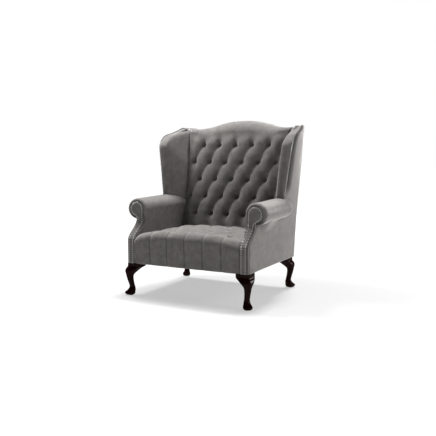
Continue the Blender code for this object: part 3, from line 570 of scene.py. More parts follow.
def puff(x, row, last_row, row_step, flutes=False):
    """Share of the full puff at x, row steps from the first row of buttons: diamonds between the first and
    last rows, straight pleats or narrow flutes outside them, with folds that rise away from the buttons. The
    cloth is slacker over one set of diagonals"""
    across = x / BUTTON_PITCH
    along = np.clip(row, 0.0, last_row) / 2
    outside = np.maximum(-row, row - last_row)
    power = lerp(SEAT_POWER, FLUTE_POWER, smooth(outside)) if flutes else PUFF_POWER
    slack = FOLD_SLACK * smooth(1 - outside)
    if not flutes:
        across = lerp(across, np.clip(across, -EDGE_FLUTE, EDGE_FLUTE), smooth(-EDGE_FLUTE_RATE * row))
    valley = (fold(across + along) * lerp(fold(across - along), 1.0, slack)) ** power
    rise = FOLD_RISE * smooth((from_button(x, row, last_row, row_step) - FOLD_START) / FOLD_RUN)
    return valley + (1 - valley) * rise


def dimple(x, row, last_row, row_step):
    """Depth at x, row that the nearest button pulls in"""
    return DIMPLE * np.exp(-((from_button(x, row, last_row, row_step) / DIMPLE_RADIUS) ** DIMPLE_POWER))


def wobble(a, b):
    """Slight unevenness of the filling: a slow product of two sines and a weaker quick one"""
    sines = [np.sin(by_a * a + by_b * b + phase) for by_a, by_b, phase in WOBBLE_SINES]
    return WOBBLE * (sines[0] * sines[1] + WOBBLE_QUICK * (sines[2] * sines[3]))


def button_columns(row):
    """x of the buttons of a row"""
    places = (np.arange(-MOST_COLUMNS, MOST_COLUMNS + 1) + 0.5 * (row % 2)) * BUTTON_PITCH
    return places[np.abs(places) <= BUTTON_REACH]


def columns_to(half):
    """Rows of x, on the button grid in the middle and closing on the pad's edge at each row's half width"""
    step = BUTTON_PITCH / (2 * CELLS)
    reach = int((SEAT_REAR_HALF - EDGE_BAND) / step)
    middle = np.arange(-reach, reach + 1) * step
    inner = middle[-1]
    side = inner + (half[:, None] - inner) * shares(EDGE_CELLS)[None, :]
    grid = np.broadcast_to(middle, (len(half), len(middle)))
    return np.concatenate([-side[:, ::-1], grid, side], axis=1)


def along_normals(grid, lift):
    """Grid of points moved along its own normals"""
    down = np.gradient(grid, axis=0)
    across = np.gradient(grid, axis=1)
    normal = np.cross(across, down)
    normal /= np.maximum(np.linalg.norm(normal, axis=2, keepdims=True), TINY)
    return grid + normal * lift[:, :, None]


# Making pieces
def closed_between(front, rear, shown=None, split_low=None):
    """Closed mesh between two grids of points. shown marks the cells that the outline keeps. split_low gives
    heights by which each front cell is split on its lower diagonal, so a valley keeps its crease"""
    rows, columns = front.shape[:2]
    count = rows * columns
    points = np.concatenate([front.reshape(-1, 3), rear.reshape(-1, 3)])
    index = np.arange(count).reshape(rows, columns)
    quads = joined(index[:-1, :-1], index[:-1, 1:], index[1:, 1:], index[1:, :-1])
    kept = np.ones((rows - 1, columns - 1), bool) if shown is None else shown
    chosen = quads[kept]
    faces = (chosen[:, ::-1] + count).tolist()
    if split_low is None:
        faces += chosen.tolist()
    else:
        low = split_low.reshape(-1)
        first = low[chosen[:, 0]] + low[chosen[:, 2]] <= low[chosen[:, 1]] + low[chosen[:, 3]]
        turned = np.where(first[:, None], chosen, np.roll(chosen, -1, axis=1))
        faces += turned[:, [0, 1, 2]].tolist() + turned[:, [0, 2, 3]].tolist()
    around = np.pad(kept, 1)
    beyond = (around[:-2, 1:-1], around[1:-1, 2:], around[2:, 1:-1], around[1:-1, :-2])
    for k, neighbour in enumerate(beyond):
        rim = quads[kept & ~neighbour]
        a, b = rim[:, k], rim[:, (k + 1) % 4]
        faces += joined(b, a, a + count, b + count).tolist()
    return points, faces


def closed_loft(sections):
    """Closed mesh through rings of points"""
    rows, count = sections.shape[:2]
    index = np.arange(rows * count).reshape(rows, count)
    following = np.roll(index, -1, axis=1)
    quads = joined(index[:-1], following[:-1], following[1:], index[1:]).reshape(-1, 4)
    faces = quads.tolist() + [index[0][::-1].tolist(), index[-1].tolist()]
    return sections.reshape(-1, 3), faces


def domes(places, normals, radius, height, sides=12, rings=4, power=1.0):
    """Closed domes standing on their places along their normals"""
    points, faces = [], []
    turn = np.linspace(0.0, 2 * math.pi, sides, endpoint=False)
    for place, normal in zip(places, normals):
        place = Vector(place)
        normal = Vector(normal).normalized()
        first = normal.orthogonal().normalized()
        second = normal.cross(first)
        spokes = [first * math.cos(t) + second * math.sin(t) for t in turn]
        start = len(points)
        points.append(place - normal * height * DOME_SUNK)
        for ring in range(rings):
            angle = ring / rings * math.pi / 2
            level = height * (-DOME_SUNK if ring == 0 else math.sin(angle) ** power)
            reach = radius * math.cos(angle)
            points += [place + normal * level + reach * spoke for spoke in spokes]
        points.append(place + normal * height)
        top = len(points) - 1
        for k in range(sides):
            n = (k + 1) % sides
            faces.append((start, start + 1 + n, start + 1 + k))
            for ring in range(rings - 1):
                low = start + 1 + ring * sides
                faces.append((low + k, low + n, low + sides + n, low + sides + k))
            last = start + 1 + (rings - 1) * sides
            faces.append((last + k, last + n, top))
    return np.array([tuple(p) for p in points]), faces


def evenly(line, pitch):
    """Points at an even pitch along a line"""
    step = np.linalg.norm(np.diff(line, axis=0), axis=1)
    run = np.concatenate([[0.0], np.cumsum(step)])
    places = np.linspace(0.0, run[-1], int(run[-1] / pitch) + 1)
    return np.stack([np.interp(places, run, line[:, k]) for k in range(line.shape[1])], axis=1)


def on_side(points, sign):
    return np.asarray(points) * (sign, 1.0, 1.0)


def add_object(name, data):
    thing = bpy.data.objects.new(name, data)
    bpy.context.scene.collection.objects.link(thing)
    return thing


def add_piece(name, shape, material, replaces=(), painted_shade=None):
    """A closed smooth mesh as a piece of the chair, in the place that the frame gives it. The last argument
    gives each point's painted shade, which is stored on the mesh and darkens its colour"""
    points, faces = shape
    mesh = bpy.data.meshes.new(name)
    mesh.from_pydata((np.asarray(points) + (0.0, BODY_FRONT, 0.0)).tolist(), [], faces)
    bm = bmesh.new()
    bm.from_mesh(mesh)
    bmesh.ops.recalc_face_normals(bm, faces=bm.faces)
    bm.to_mesh(mesh)
    bm.free()
    mesh.shade_smooth()
    if painted_shade is not None:
        pile = mesh.attributes.new("painted_shade", "FLOAT", "POINT")
        pile.data.foreach_set("value", np.asarray(painted_shade, np.float32).reshape(-1))
    mesh.materials.append(material)
    piece = add_object(name, mesh)
    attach(piece, "root")
    if replaces:
        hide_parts(*replaces)
    return piece


def upholster(name, shape, node, painted_shade=None):
    """Padded piece in the place of a soft solid"""
    add_piece(name, shape, FABRIC, [node], painted_shade)


def add_buttons(name, places, normal):
    """Covered buttons that all face one way"""
    normals = [normal] * len(places)
    shape = domes(places, normals, BUTTON_RADIUS, BUTTON_HEIGHT, BUTTON_SIDES, BUTTON_RINGS, BUTTON_POWER)
    add_piece(name, shape, FABRIC)


# Materials
def feed(node, inputs):
    """Set a node's inputs to constants, or link them from other nodes' outputs"""
    for socket, value in inputs.items():
        if isinstance(value, bpy.types.NodeSocket):
            node.id_data.links.new(value, node.inputs[socket])
        else:
            node.inputs[socket].default_value = value


def add_node(tree, kind, inputs=None):
    node = tree.nodes.new(f"ShaderNode{kind}")
    feed(node, inputs or {})
    return node


def new_material(name):
    material = bpy.data.materials.new(name)
    material.use_nodes = True
    return material, material.node_tree, material.node_tree.nodes["Principled BSDF"]


def noise(tree, scale, detail=4.0, roughness=0.55, stretch=None):
    """Noise over the piece's own coordinates, in metres"""
    place = add_node(tree, "TexCoord").outputs["Object"]
    if stretch:
        place = add_node(tree, "Mapping", {"Scale": stretch, "Vector": place}).outputs["Vector"]
    inputs = {"Scale": scale, "Detail": detail, "Roughness": roughness, "Vector": place}
    return add_node(tree, "TexNoise", inputs).outputs["Fac"]


def ramp(tree, source, low, high, start=0.3, end=0.7):
    """Colours, or greys, from low at start to high at end of a 0 to 1 source"""
    node = add_node(tree, "ValToRGB", {"Fac": source})
    for i, (position, tone) in enumerate(((start, low), (end, high))):
        stop = node.color_ramp.elements[i]
        stop.position = position
        stop.color = (*tone, 1.0) if hasattr(tone, "__len__") else (tone, tone, tone, 1.0)
    return node.outputs["Color"]


def by_painted_shade(tree, free, painted_shade):
    """Grey that darkens with the painted shade stored on the mesh"""
    node = add_node(tree, "Attribute")
    node.attribute_name = "painted_shade"
    return ramp(tree, node.outputs["Fac"], free, painted_shade, 0.0, 1.0)


def combine(tree, a, b, blend="MULTIPLY"):
    """Two colour outputs in full blend"""
    node = add_node(tree, "Mix")
    node.data_type = "RGBA"
    node.blend_type = blend
    feed(node, {"Factor": 1.0, "A": a, "B": b})
    return node.outputs["Result"]


def bump(tree, height, strength, distance):
    inputs = {"Strength": strength, "Distance": distance, "Height": height}
    return add_node(tree, "Bump", inputs).outputs["Normal"]


def velvet():
    """Grey-taupe pile with a mottled nap, and painted shade where the mesh marks it"""
    material, tree, shader = new_material("grey_velvet")
    nap = ramp(tree, noise(tree, 26.0, 5.0, 0.62), (0.128, 0.121, 0.116), (0.186, 0.177, 0.170))
    pile = ramp(tree, noise(tree, 150.0, 6.0, 0.75), 0.70, 1.20, end=0.72)
    feed(shader, {
        # Base colour: nap times pile, times the painted shade marked on the mesh
        "Base Color": combine(tree, combine(tree, nap, pile), by_painted_shade(tree, 1.0, 0.30)),
        "Roughness": 0.92,
        "Specular IOR Level": 0.15,
        "Sheen Weight": 0.9,
        "Sheen Roughness": 0.35,
        "Sheen Tint": (0.93, 0.90, 0.87, 1.0),
        "Normal": bump(tree, noise(tree, 620.0, 3.0, 0.7), 0.55, 0.0012),
    })
    return material


def mahogany():
    """Dark polished wood"""
    material, tree, shader = new_material("dark_mahogany")
    grain = noise(tree, 60.0, 6.0, 0.6, (1.0, 1.0, 0.12))
    feed(shader, {
        "Base Color": ramp(tree, grain, (0.0050, 0.0013, 0.0011), (0.0160, 0.0036, 0.0028), start=0.35),
        "Roughness": ramp(tree, noise(tree, 18.0, 3.0, 0.5), 0.10, 0.18),
        "Specular IOR Level": 0.0,
        "Coat Weight": 0.09,
        "Coat Roughness": 0.04,
        "Normal": bump(tree, grain, 0.06, 0.0006),
    })
    return material


def pewter():
    """Nail heads of aged metal, painted darker and made rougher where the mesh marks painted shade"""
    material, tree, shader = new_material("pewter")
    colour = ramp(tree, noise(tree, 240.0, 4.0, 0.6), (0.40, 0.392, 0.384), (0.72, 0.708, 0.696))
    rough = ramp(tree, noise(tree, 500.0, 3.0, 0.6), 0.34, 0.46)
    feed(shader, {
        # Painted shade: darker colour, and more roughness, where the mesh marks it
        "Base Color": combine(tree, colour, by_painted_shade(tree, 1.0, 0.22)),
        "Roughness": combine(tree, rough, by_painted_shade(tree, 0.0, 0.40), "ADD"),
        "Metallic": 1.0,
        "Normal": bump(tree, noise(tree, 900.0, 2.0, 0.5), 0.15, 0.0004),
    })
    return material


def plain(name, dark, light, scale, roughness, stretch=None, metallic=0.0, depth=0.0005, spread=0.08):
    """Timber, steel, webbing, nylon or dust cloth: two tones over a noise, with a little relief"""
    material, tree, shader = new_material(name)
    source = noise(tree, scale, 5.0, 0.6, stretch)
    low, high = max(roughness - spread, 0.0), min(roughness + spread, 1.0)
    feed(shader, {
        "Base Color": ramp(tree, source, dark, light),
        "Roughness": ramp(tree, noise(tree, scale * 2), low, high),
        "Metallic": metallic,
        "Normal": bump(tree, source, 0.3, depth),
    })
    return material


FABRIC = velvet()
MAHOGANY = mahogany()
PEWTER = pewter()
BEECH = plain("beech", (0.40, 0.25, 0.13), (0.62, 0.43, 0.25), 40.0, 0.6, (1.0, 1.0, 0.15))
STEEL = plain("spring_steel", (0.22, 0.22, 0.23), (0.42, 0.42, 0.43), 90.0, 0.35, metallic=1.0)
WEBBING = plain("webbing", (0.20, 0.15, 0.09), (0.42, 0.34, 0.22), 300.0, 0.9)
NYLON = plain("nylon", (0.018, 0.018, 0.018), (0.04, 0.04, 0.04), 120.0, 0.5)
DUST_CLOTH = plain("dust_cloth", (0.008, 0.008, 0.008), (0.024, 0.024, 0.024), 500.0, 0.95)


# Upholstery
def inside_back():
    """Deep-buttoned back that rolls over the crest to the outside back"""
    last = BACK_ROWS - 1
    bottom_z = TOP_BUTTON_Z - last * BACK_ROW_STEP
    below = np.linspace(BACK_BOTTOM, bottom_z, BACK_BELOW + 1)[:-1]
    between = np.linspace(bottom_z, TOP_BUTTON_Z, last * CELLS + 1)
    above = shares(BACK_ABOVE)
    turns = quarter(CREST_TURNS)
    falls = quarter(CREST_FALLS)
    edge_top = crest_z(SEAT_REAR_HALF + WING_FLARE)
    edge_roll = CREST_ROLL_HEIGHT * crest_roll(SEAT_REAR_HALF + WING_FLARE)
    edge_start = edge_top - edge_roll
    edge_z = np.concatenate([
        below,
        between,
        lerp(TOP_BUTTON_Z, edge_start, above),
        edge_start + edge_roll * np.sin(turns),
        np.full(len(falls), edge_top),
    ])
    x = columns_to(back_half(edge_z) - SEAM)
    crest = crest_z(x)
    roll = crest_roll(x)
    roll_start = crest - CREST_ROLL_HEIGHT * roll
    y, z, rear_z = np.zeros((3, *x.shape))
    fade = np.ones_like(x)
    upright = len(below) + len(between)
    plane_rows = upright + len(above)
    first_fall = plane_rows + len(turns)

    z[:upright] = edge_z[:upright, None]
    z[upright:plane_rows] = lerp(TOP_BUTTON_Z, roll_start[upright:plane_rows], above[:, None])
    y[:plane_rows] = button_plane_y(x[:plane_rows], z[:plane_rows])
    fade[:plane_rows] *= smooth((z[:plane_rows] - BACK_PLEATS_LOW) / (BACK_PLEATS_HIGH - BACK_PLEATS_LOW))

    rows = slice(plane_rows, first_fall)
    up = CREST_ROLL_HEIGHT * roll[rows] * np.sin(turns)[:, None]
    back = CREST_ROLL_DEPTH * roll[rows] * (1 - np.cos(turns))[:, None]
    lean = BACK_RAKE * up * (1 - np.sin(turns)[:, None])
    z[rows] = roll_start[rows] + up
    y[rows] = button_plane_y(x[rows], roll_start[rows]) + back + lean
    fade[rows] = lerp(1.0, CREST_PLEATS, smooth(turns[:, None] / QUARTER_TURN))

    rows = slice(first_fall, None)
    rear_edge = rear_y(crest[rows] - CREST_FALL) - CREST_REAR_LAP
    z[rows] = crest[rows] - CREST_FALL * (1 - np.cos(falls))[:, None]
    y[rows] = lerp(y[first_fall - 1][None, :], rear_edge, np.sin(falls)[:, None])
    fade[rows] = CREST_PLEATS * (1 - PLEAT_FADE) * (1 - falls[:, None] / QUARTER_TURN)

    rows = slice(upright, first_fall)
    fade[rows] *= 1 - PLEAT_FADE * smooth((z[rows] - TOP_BUTTON_Z) / PLEAT_HEIGHT)
    row = (TOP_BUTTON_Z - z) / BACK_ROW_STEP
    row[plane_rows:] = np.minimum(row[plane_rows:], 0.0)
    swell = puff(x, row, last, BACK_ROW_STEP)
    half = np.abs(x[:, -1:])
    fade *= lerp(EDGE_SHARE, 1.0, smooth((half - np.abs(x)) / EDGE_RUN))
    lift = fade * (PUFF * swell + wobble(x, z)) - dimple(x, row, last, BACK_ROW_STEP)
    front = along_normals(joined(x, y, z), lift)
    front[:, :, 0] = np.clip(front[:, :, 0], -half, half)

    rail_top = crest - CREST_PAD + GAP
    rear_z[:plane_rows] = np.minimum(z[:plane_rows], rail_top[:plane_rows])
    share = np.linspace(0.0, 1.0, len(turns) + len(falls))[:, None]
    rear_z[plane_rows:] = lerp(rail_top[plane_rows:], crest[plane_rows:] - CREST_FALL, share)
    rear = joined(x, frame_rear_y(rear_z) - PAD_REAR, rear_z)
    rear[plane_rows:, :, 1] = panel_y(rear_z[plane_rows:])
    upholster("inside_back", closed_between(front, rear, split_low=swell * fade), "back_pad")

    places = []
    normal = Vector((0.0, -1.0, BACK_RAKE)).normalized()
    for j in range(BACK_ROWS):
        level = TOP_BUTTON_Z - j * BACK_ROW_STEP
        for column in button_columns(j):
            centre = Vector((column, float(button_plane_y(column, level)), level))
            places.append(centre - normal * (DIMPLE - BUTTON_RAISE))
    add_buttons("back_buttons", places, normal)


def seat():
    """Seat with a fluted front border over the rail and a buttoned top"""
    last = SEAT_ROWS - 1
    step = SEAT_ROW_STEP / CELLS
    edge_low = SEAT_TOP - SEAT_EDGE - SEAT_SIDE_DROP
    border = np.linspace(BODY_BASE, edge_low, SEAT_BORDER_ROWS)
    turns = quarter(SEAT_TURNS)
    rear_limit = float(button_plane_y(0.0, SEAT_TOP)) - SEAT_REAR_GAP
    lead = np.linspace(SEAT_SETBACK - SEAT_BULGE + SEAT_EDGE, SEAT_FIRST_ROW, SEAT_LEAD + 1)[1:]
    count = int((rear_limit - SEAT_FIRST_ROW) / step)
    top = np.concatenate([lead, SEAT_FIRST_ROW + step * np.arange(1, count + 1), [rear_limit]])

    edge_y = np.concatenate([np.zeros(len(border)), SEAT_EDGE * (1 - np.cos(turns)), top])
    x = columns_to(seat_half(edge_y) - SEAM)
    half = np.abs(x[:, -1:])
    drop = SEAT_SIDE_DROP * np.abs(x / (half + SEAM)) ** SEAT_SIDE_POWER
    bow = SEAT_BOW * (1 - np.abs(x / half) ** SEAT_SIDE_POWER)
    y, z = np.zeros((2, *x.shape))
    fade = np.ones_like(x)
    rows = slice(0, len(border))
    share = ((border - BODY_BASE) / (edge_low - BODY_BASE))[:, None]
    z[rows] = BODY_BASE + share * (SEAT_TOP - SEAT_EDGE - drop[rows] - BODY_BASE)
    bulge = SEAT_BULGE * np.sin(QUARTER_TURN * share)
    y[rows] = SEAT_SETBACK - bulge - bow[rows] * lerp(SEAT_BOW_LOW, 1.0, share)
    fade[rows] = lerp(SEAT_FLUTE_FADE, 1.0, smooth(share))
    turn_rows = slice(len(border), len(border) + len(turns))
    y[turn_rows] = SEAT_SETBACK - SEAT_BULGE + SEAT_EDGE * (1 - np.cos(turns))[:, None]
    y[turn_rows] -= bow[turn_rows] * np.cos(turns)[:, None]
    z[turn_rows] = SEAT_TOP - SEAT_EDGE - drop[turn_rows] + SEAT_EDGE * np.sin(turns)[:, None]
    top_rows = slice(len(border) + len(turns), None)
    y[top_rows] = top[:, None]
    z[top_rows] = SEAT_TOP - drop[top_rows]
    fade[top_rows] = smooth((rear_limit - top[:, None]) / SEAT_ROW_STEP * SEAT_REAR_FADE)
    row = np.full_like(x, -1.0)
    row[top_rows] = (y[top_rows] - SEAT_FIRST_ROW) / SEAT_ROW_STEP
    swell = puff(x, row, last, SEAT_ROW_STEP, flutes=True)
    dent = np.where(row > -1.0, SEAT_DENT * dimple(x, row, last, SEAT_ROW_STEP), 0.0)
    lift = fade * (SEAT_PUFF * swell + wobble(x, y + z) - dent)
    lift -= SEAT_TUCK * (1 - smooth((half - np.abs(x)) / SEAT_TUCK_WIDTH))
    front = along_normals(joined(x, y, z), lift)
    front[:, :, 0] = np.clip(front[:, :, 0], -half, half)
    front[:, :, 2] = np.maximum(front[:, :, 2], BODY_BASE)

    rear = joined(x, np.maximum(y, RAIL_SETBACK - GAP), np.minimum(z, DECK))
    rear[turn_rows, :, 1] = np.linspace(RAIL_SETBACK - GAP, SEAT_EDGE, len(turns))[:, None]
    # Painted shade: a thin dark line down the left side of each seam of the front border, where the groove is
    # in shade
    from_seam = x - np.round(x / BUTTON_PITCH) * BUTTON_PITCH
    beside = np.abs(from_seam + SEAT_SEAM_WIDTH / 2) / SEAT_SEAM_WIDTH
    painted_shade = np.where(row > -1.0, 0.0, SEAT_SEAM_SHADE * (1 - smooth(beside)))
    shape = closed_between(front, rear, split_low=swell * fade)
    upholster("seat", shape, "seat_pad", [painted_shade, painted_shade])

    places = []
    for j in range(SEAT_ROWS):
        level = SEAT_FIRST_ROW + j * SEAT_ROW_STEP
        for column in button_columns(j):
            side = SEAT_SIDE_DROP * abs(column / float(seat_half(level))) ** SEAT_SIDE_POWER
            places.append(Vector((column, level, SEAT_TOP - side - SEAT_DENT * DIMPLE + BUTTON_RAISE)))
    add_buttons("seat_buttons", places, Vector((0.0, 0.0, 1.0)))


def arm(side, sign):
    """Inside arm and roll in one: a gathered round front, and an outer half that ends in a dome"""
    start = float(behind_facing(ARM_LINE))
    levels = np.linspace(DECK, ARM_LINE, ARM_LEVELS)
    angles = np.radians(np.linspace(ROLL_FROM, ROLL_TO, ROLL_POINTS))
    cap_start = ROLL_END - ROLL_CAP

    def section(front, share, cut):
        """Inner face upwards, round the roll and down beside the frame. share grows the roll from the rim of
        the scroll to its full size, cut draws in what stands outside the frame"""
        back = max(front, start)
        centre = float(roll_z(back))
        run = (ARM_END - back) / (ARM_END - start)
        y = back - start + lerp(start, behind_facing(levels), run)
        tuck = ROLL_RADIUS * (1 - lerp(SCROLL_RADIUS / ROLL_RADIUS, 1.0, share))
        inside = joined(seat_half(y) + tuck * ROLL_TUCK, y, levels)
        rim = SCROLL_RADIUS + SEAM
        across, up = np.cos(angles), np.sin(angles)
        gather = GATHER * (1 - share ** 2) * lerp(GATHER_LOW, 1.0, min(share * GATHER_RATE, 1.0))
        wave = gather * np.cos(GATHERS * angles)
        outer = lerp(rim, ROLL_REACH, share) + wave
        inner = lerp(rim, float(roll_inner_radius(back)), share) + wave
        x = ROLL_X + np.where(across > 0, outer, inner) * across
        z = (lerp(rim, ROLL_RADIUS, share) + wave) * up
        beyond = np.maximum(x - X_FRAME_OUT, 0.0)
        x = np.where(beyond > 0, X_FRAME_OUT + beyond * cut, x)
        z = z * lerp(1.0, lerp(ROLL_CAP_FLAT, 1.0, cut), smooth(beyond / ROLL_CAP_BLEND))
        ahead = smooth((np.degrees(angles) - ROLL_NOSE_FROM) / ROLL_NOSE_SPAN)
        roll = joined(x, back + (front - back) * ahead, centre + z)
        below = np.array([[X_PAD_OUT, back, centre - ROLL_RADIUS]])
        outside = joined(np.full_like(y, X_PAD_OUT), y, levels)[-2::-1]
        return np.concatenate([inside, roll, below, outside])

    fronts = [start, start - ROLL_FRONT_STEP, ROLL_LIP + ROLL_FRONT_EASE]
    fronts += [ROLL_LIP] * (len(ROLL_FRONT_SHARES) - len(fronts))
    sections = [section(front, share, 1.0) for front, share in zip(fronts, ROLL_FRONT_SHARES)]
    for angle in quarter(ROLL_NOSE_TURNS):
        share = lerp(ROLL_FLAT, 1.0, math.sin(angle))
        sections.append(section(ROLL_LIP + ROLL_NOSE * (1 - math.cos(angle)), share, 1.0))
    for y in np.linspace(ROLL_LIP + ROLL_NOSE, cap_start, ROLL_LENGTHS + 1)[1:]:
        sections.append(section(y, 1.0, 1.0))
    for angle in quarter(ROLL_CAP_TURNS):
        sections.append(section(cap_start + ROLL_CAP * math.sin(angle), 1.0, math.cos(angle)))
    sections.append(section(ARM_END, 1.0, 0.0))
    sections = on_side(sections, sign)
    # Painted shade on the cloth under the roll, where the roll shades it
    under = UNDER_ROLL_SHADE * smooth((UNDER_ROLL - np.degrees(angles)) / UNDER_ROLL_SPAN)
    painted_shade = np.zeros(sections.shape[:2])
    painted_shade[:, len(levels):len(levels) + len(angles)] = under
    upholster(f"{side}_arm", closed_loft(sections), f"{side}_arm_pad", painted_shade)


def scroll_share(z):
    """Share of the scroll's flare, from the strip below it"""
    return smooth((z - ARM_LINE + SCROLL_FLARE_DROP) / SCROLL_FLARE_SPAN)


def facing_outline(z):
    """Inner and outer edge of a facing: an upright strip that runs into the round scroll"""
    reach = np.sqrt(np.maximum(SCROLL_RADIUS ** 2 - (z - ROLL_Z) ** 2, 0.0))
    strip = lerp(SEAT_FRONT_HALF + SEAT_FRONT_FLARE + GAP, ROLL_X - SCROLL_RADIUS, neck_share(z))
    inner = np.where(z < ROLL_Z, strip, ROLL_X - reach)
    flared = np.maximum(X_OUT - GAP, ROLL_X + reach * scroll_share(z))
    outer = np.where(z < ROLL_Z - SCROLL_RADIUS, X_OUT - GAP, flared)
    return inner, np.where(z < ROLL_Z, outer, ROLL_X + reach)


def facing(side, sign):
    """Padded facing of the arm's front, and its nails"""
    strip = np.linspace(BODY_BASE + GAP, ROLL_Z - SCROLL_RADIUS, FACING_ROWS)
    turned = np.radians(np.linspace(-90.0, SCROLL_TOP, SCROLL_ROWS + 1)[1:])
    z = np.concatenate([strip, ROLL_Z + SCROLL_RADIUS * np.sin(turned)])
    inner, outer = facing_outline(z)
    share = 0.5 - 0.5 * np.cos(np.linspace(0.0, math.pi, FACING_COLUMNS))
    x = lerp(inner[:, None], outer[:, None], share[None, :])
    from_outer = outer[:, None] - x
    edge = np.minimum(x - inner[:, None], from_outer)
    edge = np.minimum(edge, np.minimum(z[-1] - z, z - z[0])[:, None] + FACING_RIM)
    y = facing_front_y(z)[:, None] + FACING_EDGE_FALL * rounded(edge / FACING_EDGE)
    straight = 1 - neck_share(z)[:, None]
    y += (FACING_CORNER - FACING_EDGE_FALL) * straight * rounded(from_outer / FACING_CORNER)
    y -= FACING_PAD * smooth(edge / FACING_PAD_RUN)
    front = joined(x, y, np.broadcast_to(z[:, None], x.shape))
    rear = front.copy()
    rear[:, :, 1] = facing_y(z)[:, None] + FACING
    shape = closed_between(on_side(front, sign), on_side(rear, sign))
    # Painted shade along the outer edge of the facing's upright strip, fading out towards the scroll
    beside = smooth((from_outer - FACING_PAINTED_SHADE_START) / FACING_PAINTED_SHADE_WIDTH)
    painted_shade = FACING_PAINTED_SHADE * (1 - scroll_share(z))[:, None] * (1 - beside)
    upholster(f"{side}_facing", shape, f"{side}_arm_facing", [painted_shade, painted_shade])

    low = BODY_BASE + NAIL_INSET
    up_z = np.linspace(low, ROLL_Z, NAIL_ROW_STEPS)
    inner_row = joined(facing_outline(up_z)[0] + NAIL_INNER_INSET, up_z)
    angles = np.radians(np.linspace(NAIL_RING_FROM, NAIL_RING_TO, NAIL_RING_STEPS))
    ring = joined(ROLL_X + NAIL_RING * np.cos(angles), ROLL_Z + NAIL_RING * np.sin(angles))
    down_z = np.linspace(ring[-1, 1] - NAIL_RING_GAP, low, NAIL_ROW_STEPS)
    outer_row = joined(np.full_like(down_z, X_OUT - NAIL_OUTER_INSET), down_z)
    line = evenly(np.concatenate([inner_row, ring, outer_row]), NAIL_PITCH)
    z = line[:, 1]
    levels = np.linspace(BODY_BASE, ROLL_Z + SLOPE_ABOVE, LINE_STEPS)
    slope = np.interp(z, levels, np.gradient(facing_front_y(levels), levels))
    places = joined(sign * line[:, 0], facing_front_y(z) - NAIL_PROUD, z)
    normals = joined(np.zeros_like(z), -np.ones_like(z), slope)
    shape = domes(places, normals, NAIL_RADIUS, NAIL_HEIGHT)
    add_piece(f"{side}_facing_nails", shape, PEWTER)


def wing_outline():
    """Nail line of the wing in y and z, from the arm up and back to the corner, with its outward normals"""
    z = np.linspace(WING_BASE, WING_TOP, LINE_STEPS)
    rise = joined(wing_front_y(z), z)
    top_y = np.linspace(rise[-1, 0], float(panel_y(WING_TOP)) - SEAM, WING_TOP_STEPS + 1)[1:]
    line = np.concatenate([rise, joined(top_y, np.full_like(top_y, WING_TOP))])
    length = np.linalg.norm(np.diff(line, axis=0), axis=1).sum()
    # Half a pitch to spare, so that rounding keeps the count
    line = evenly(line, length / (WING_POINTS - 0.5))
    tangent = np.gradient(line, axis=0)
    for _ in range(WING_LINE_EASE):
        tangent[1:-1] = (tangent[:-2] + 2 * tangent[1:-1] + tangent[2:]) / 4
    tangent /= np.linalg.norm(tangent, axis=1, keepdims=True)
    return line, joined(-tangent[:, 1], tangent[:, 0])


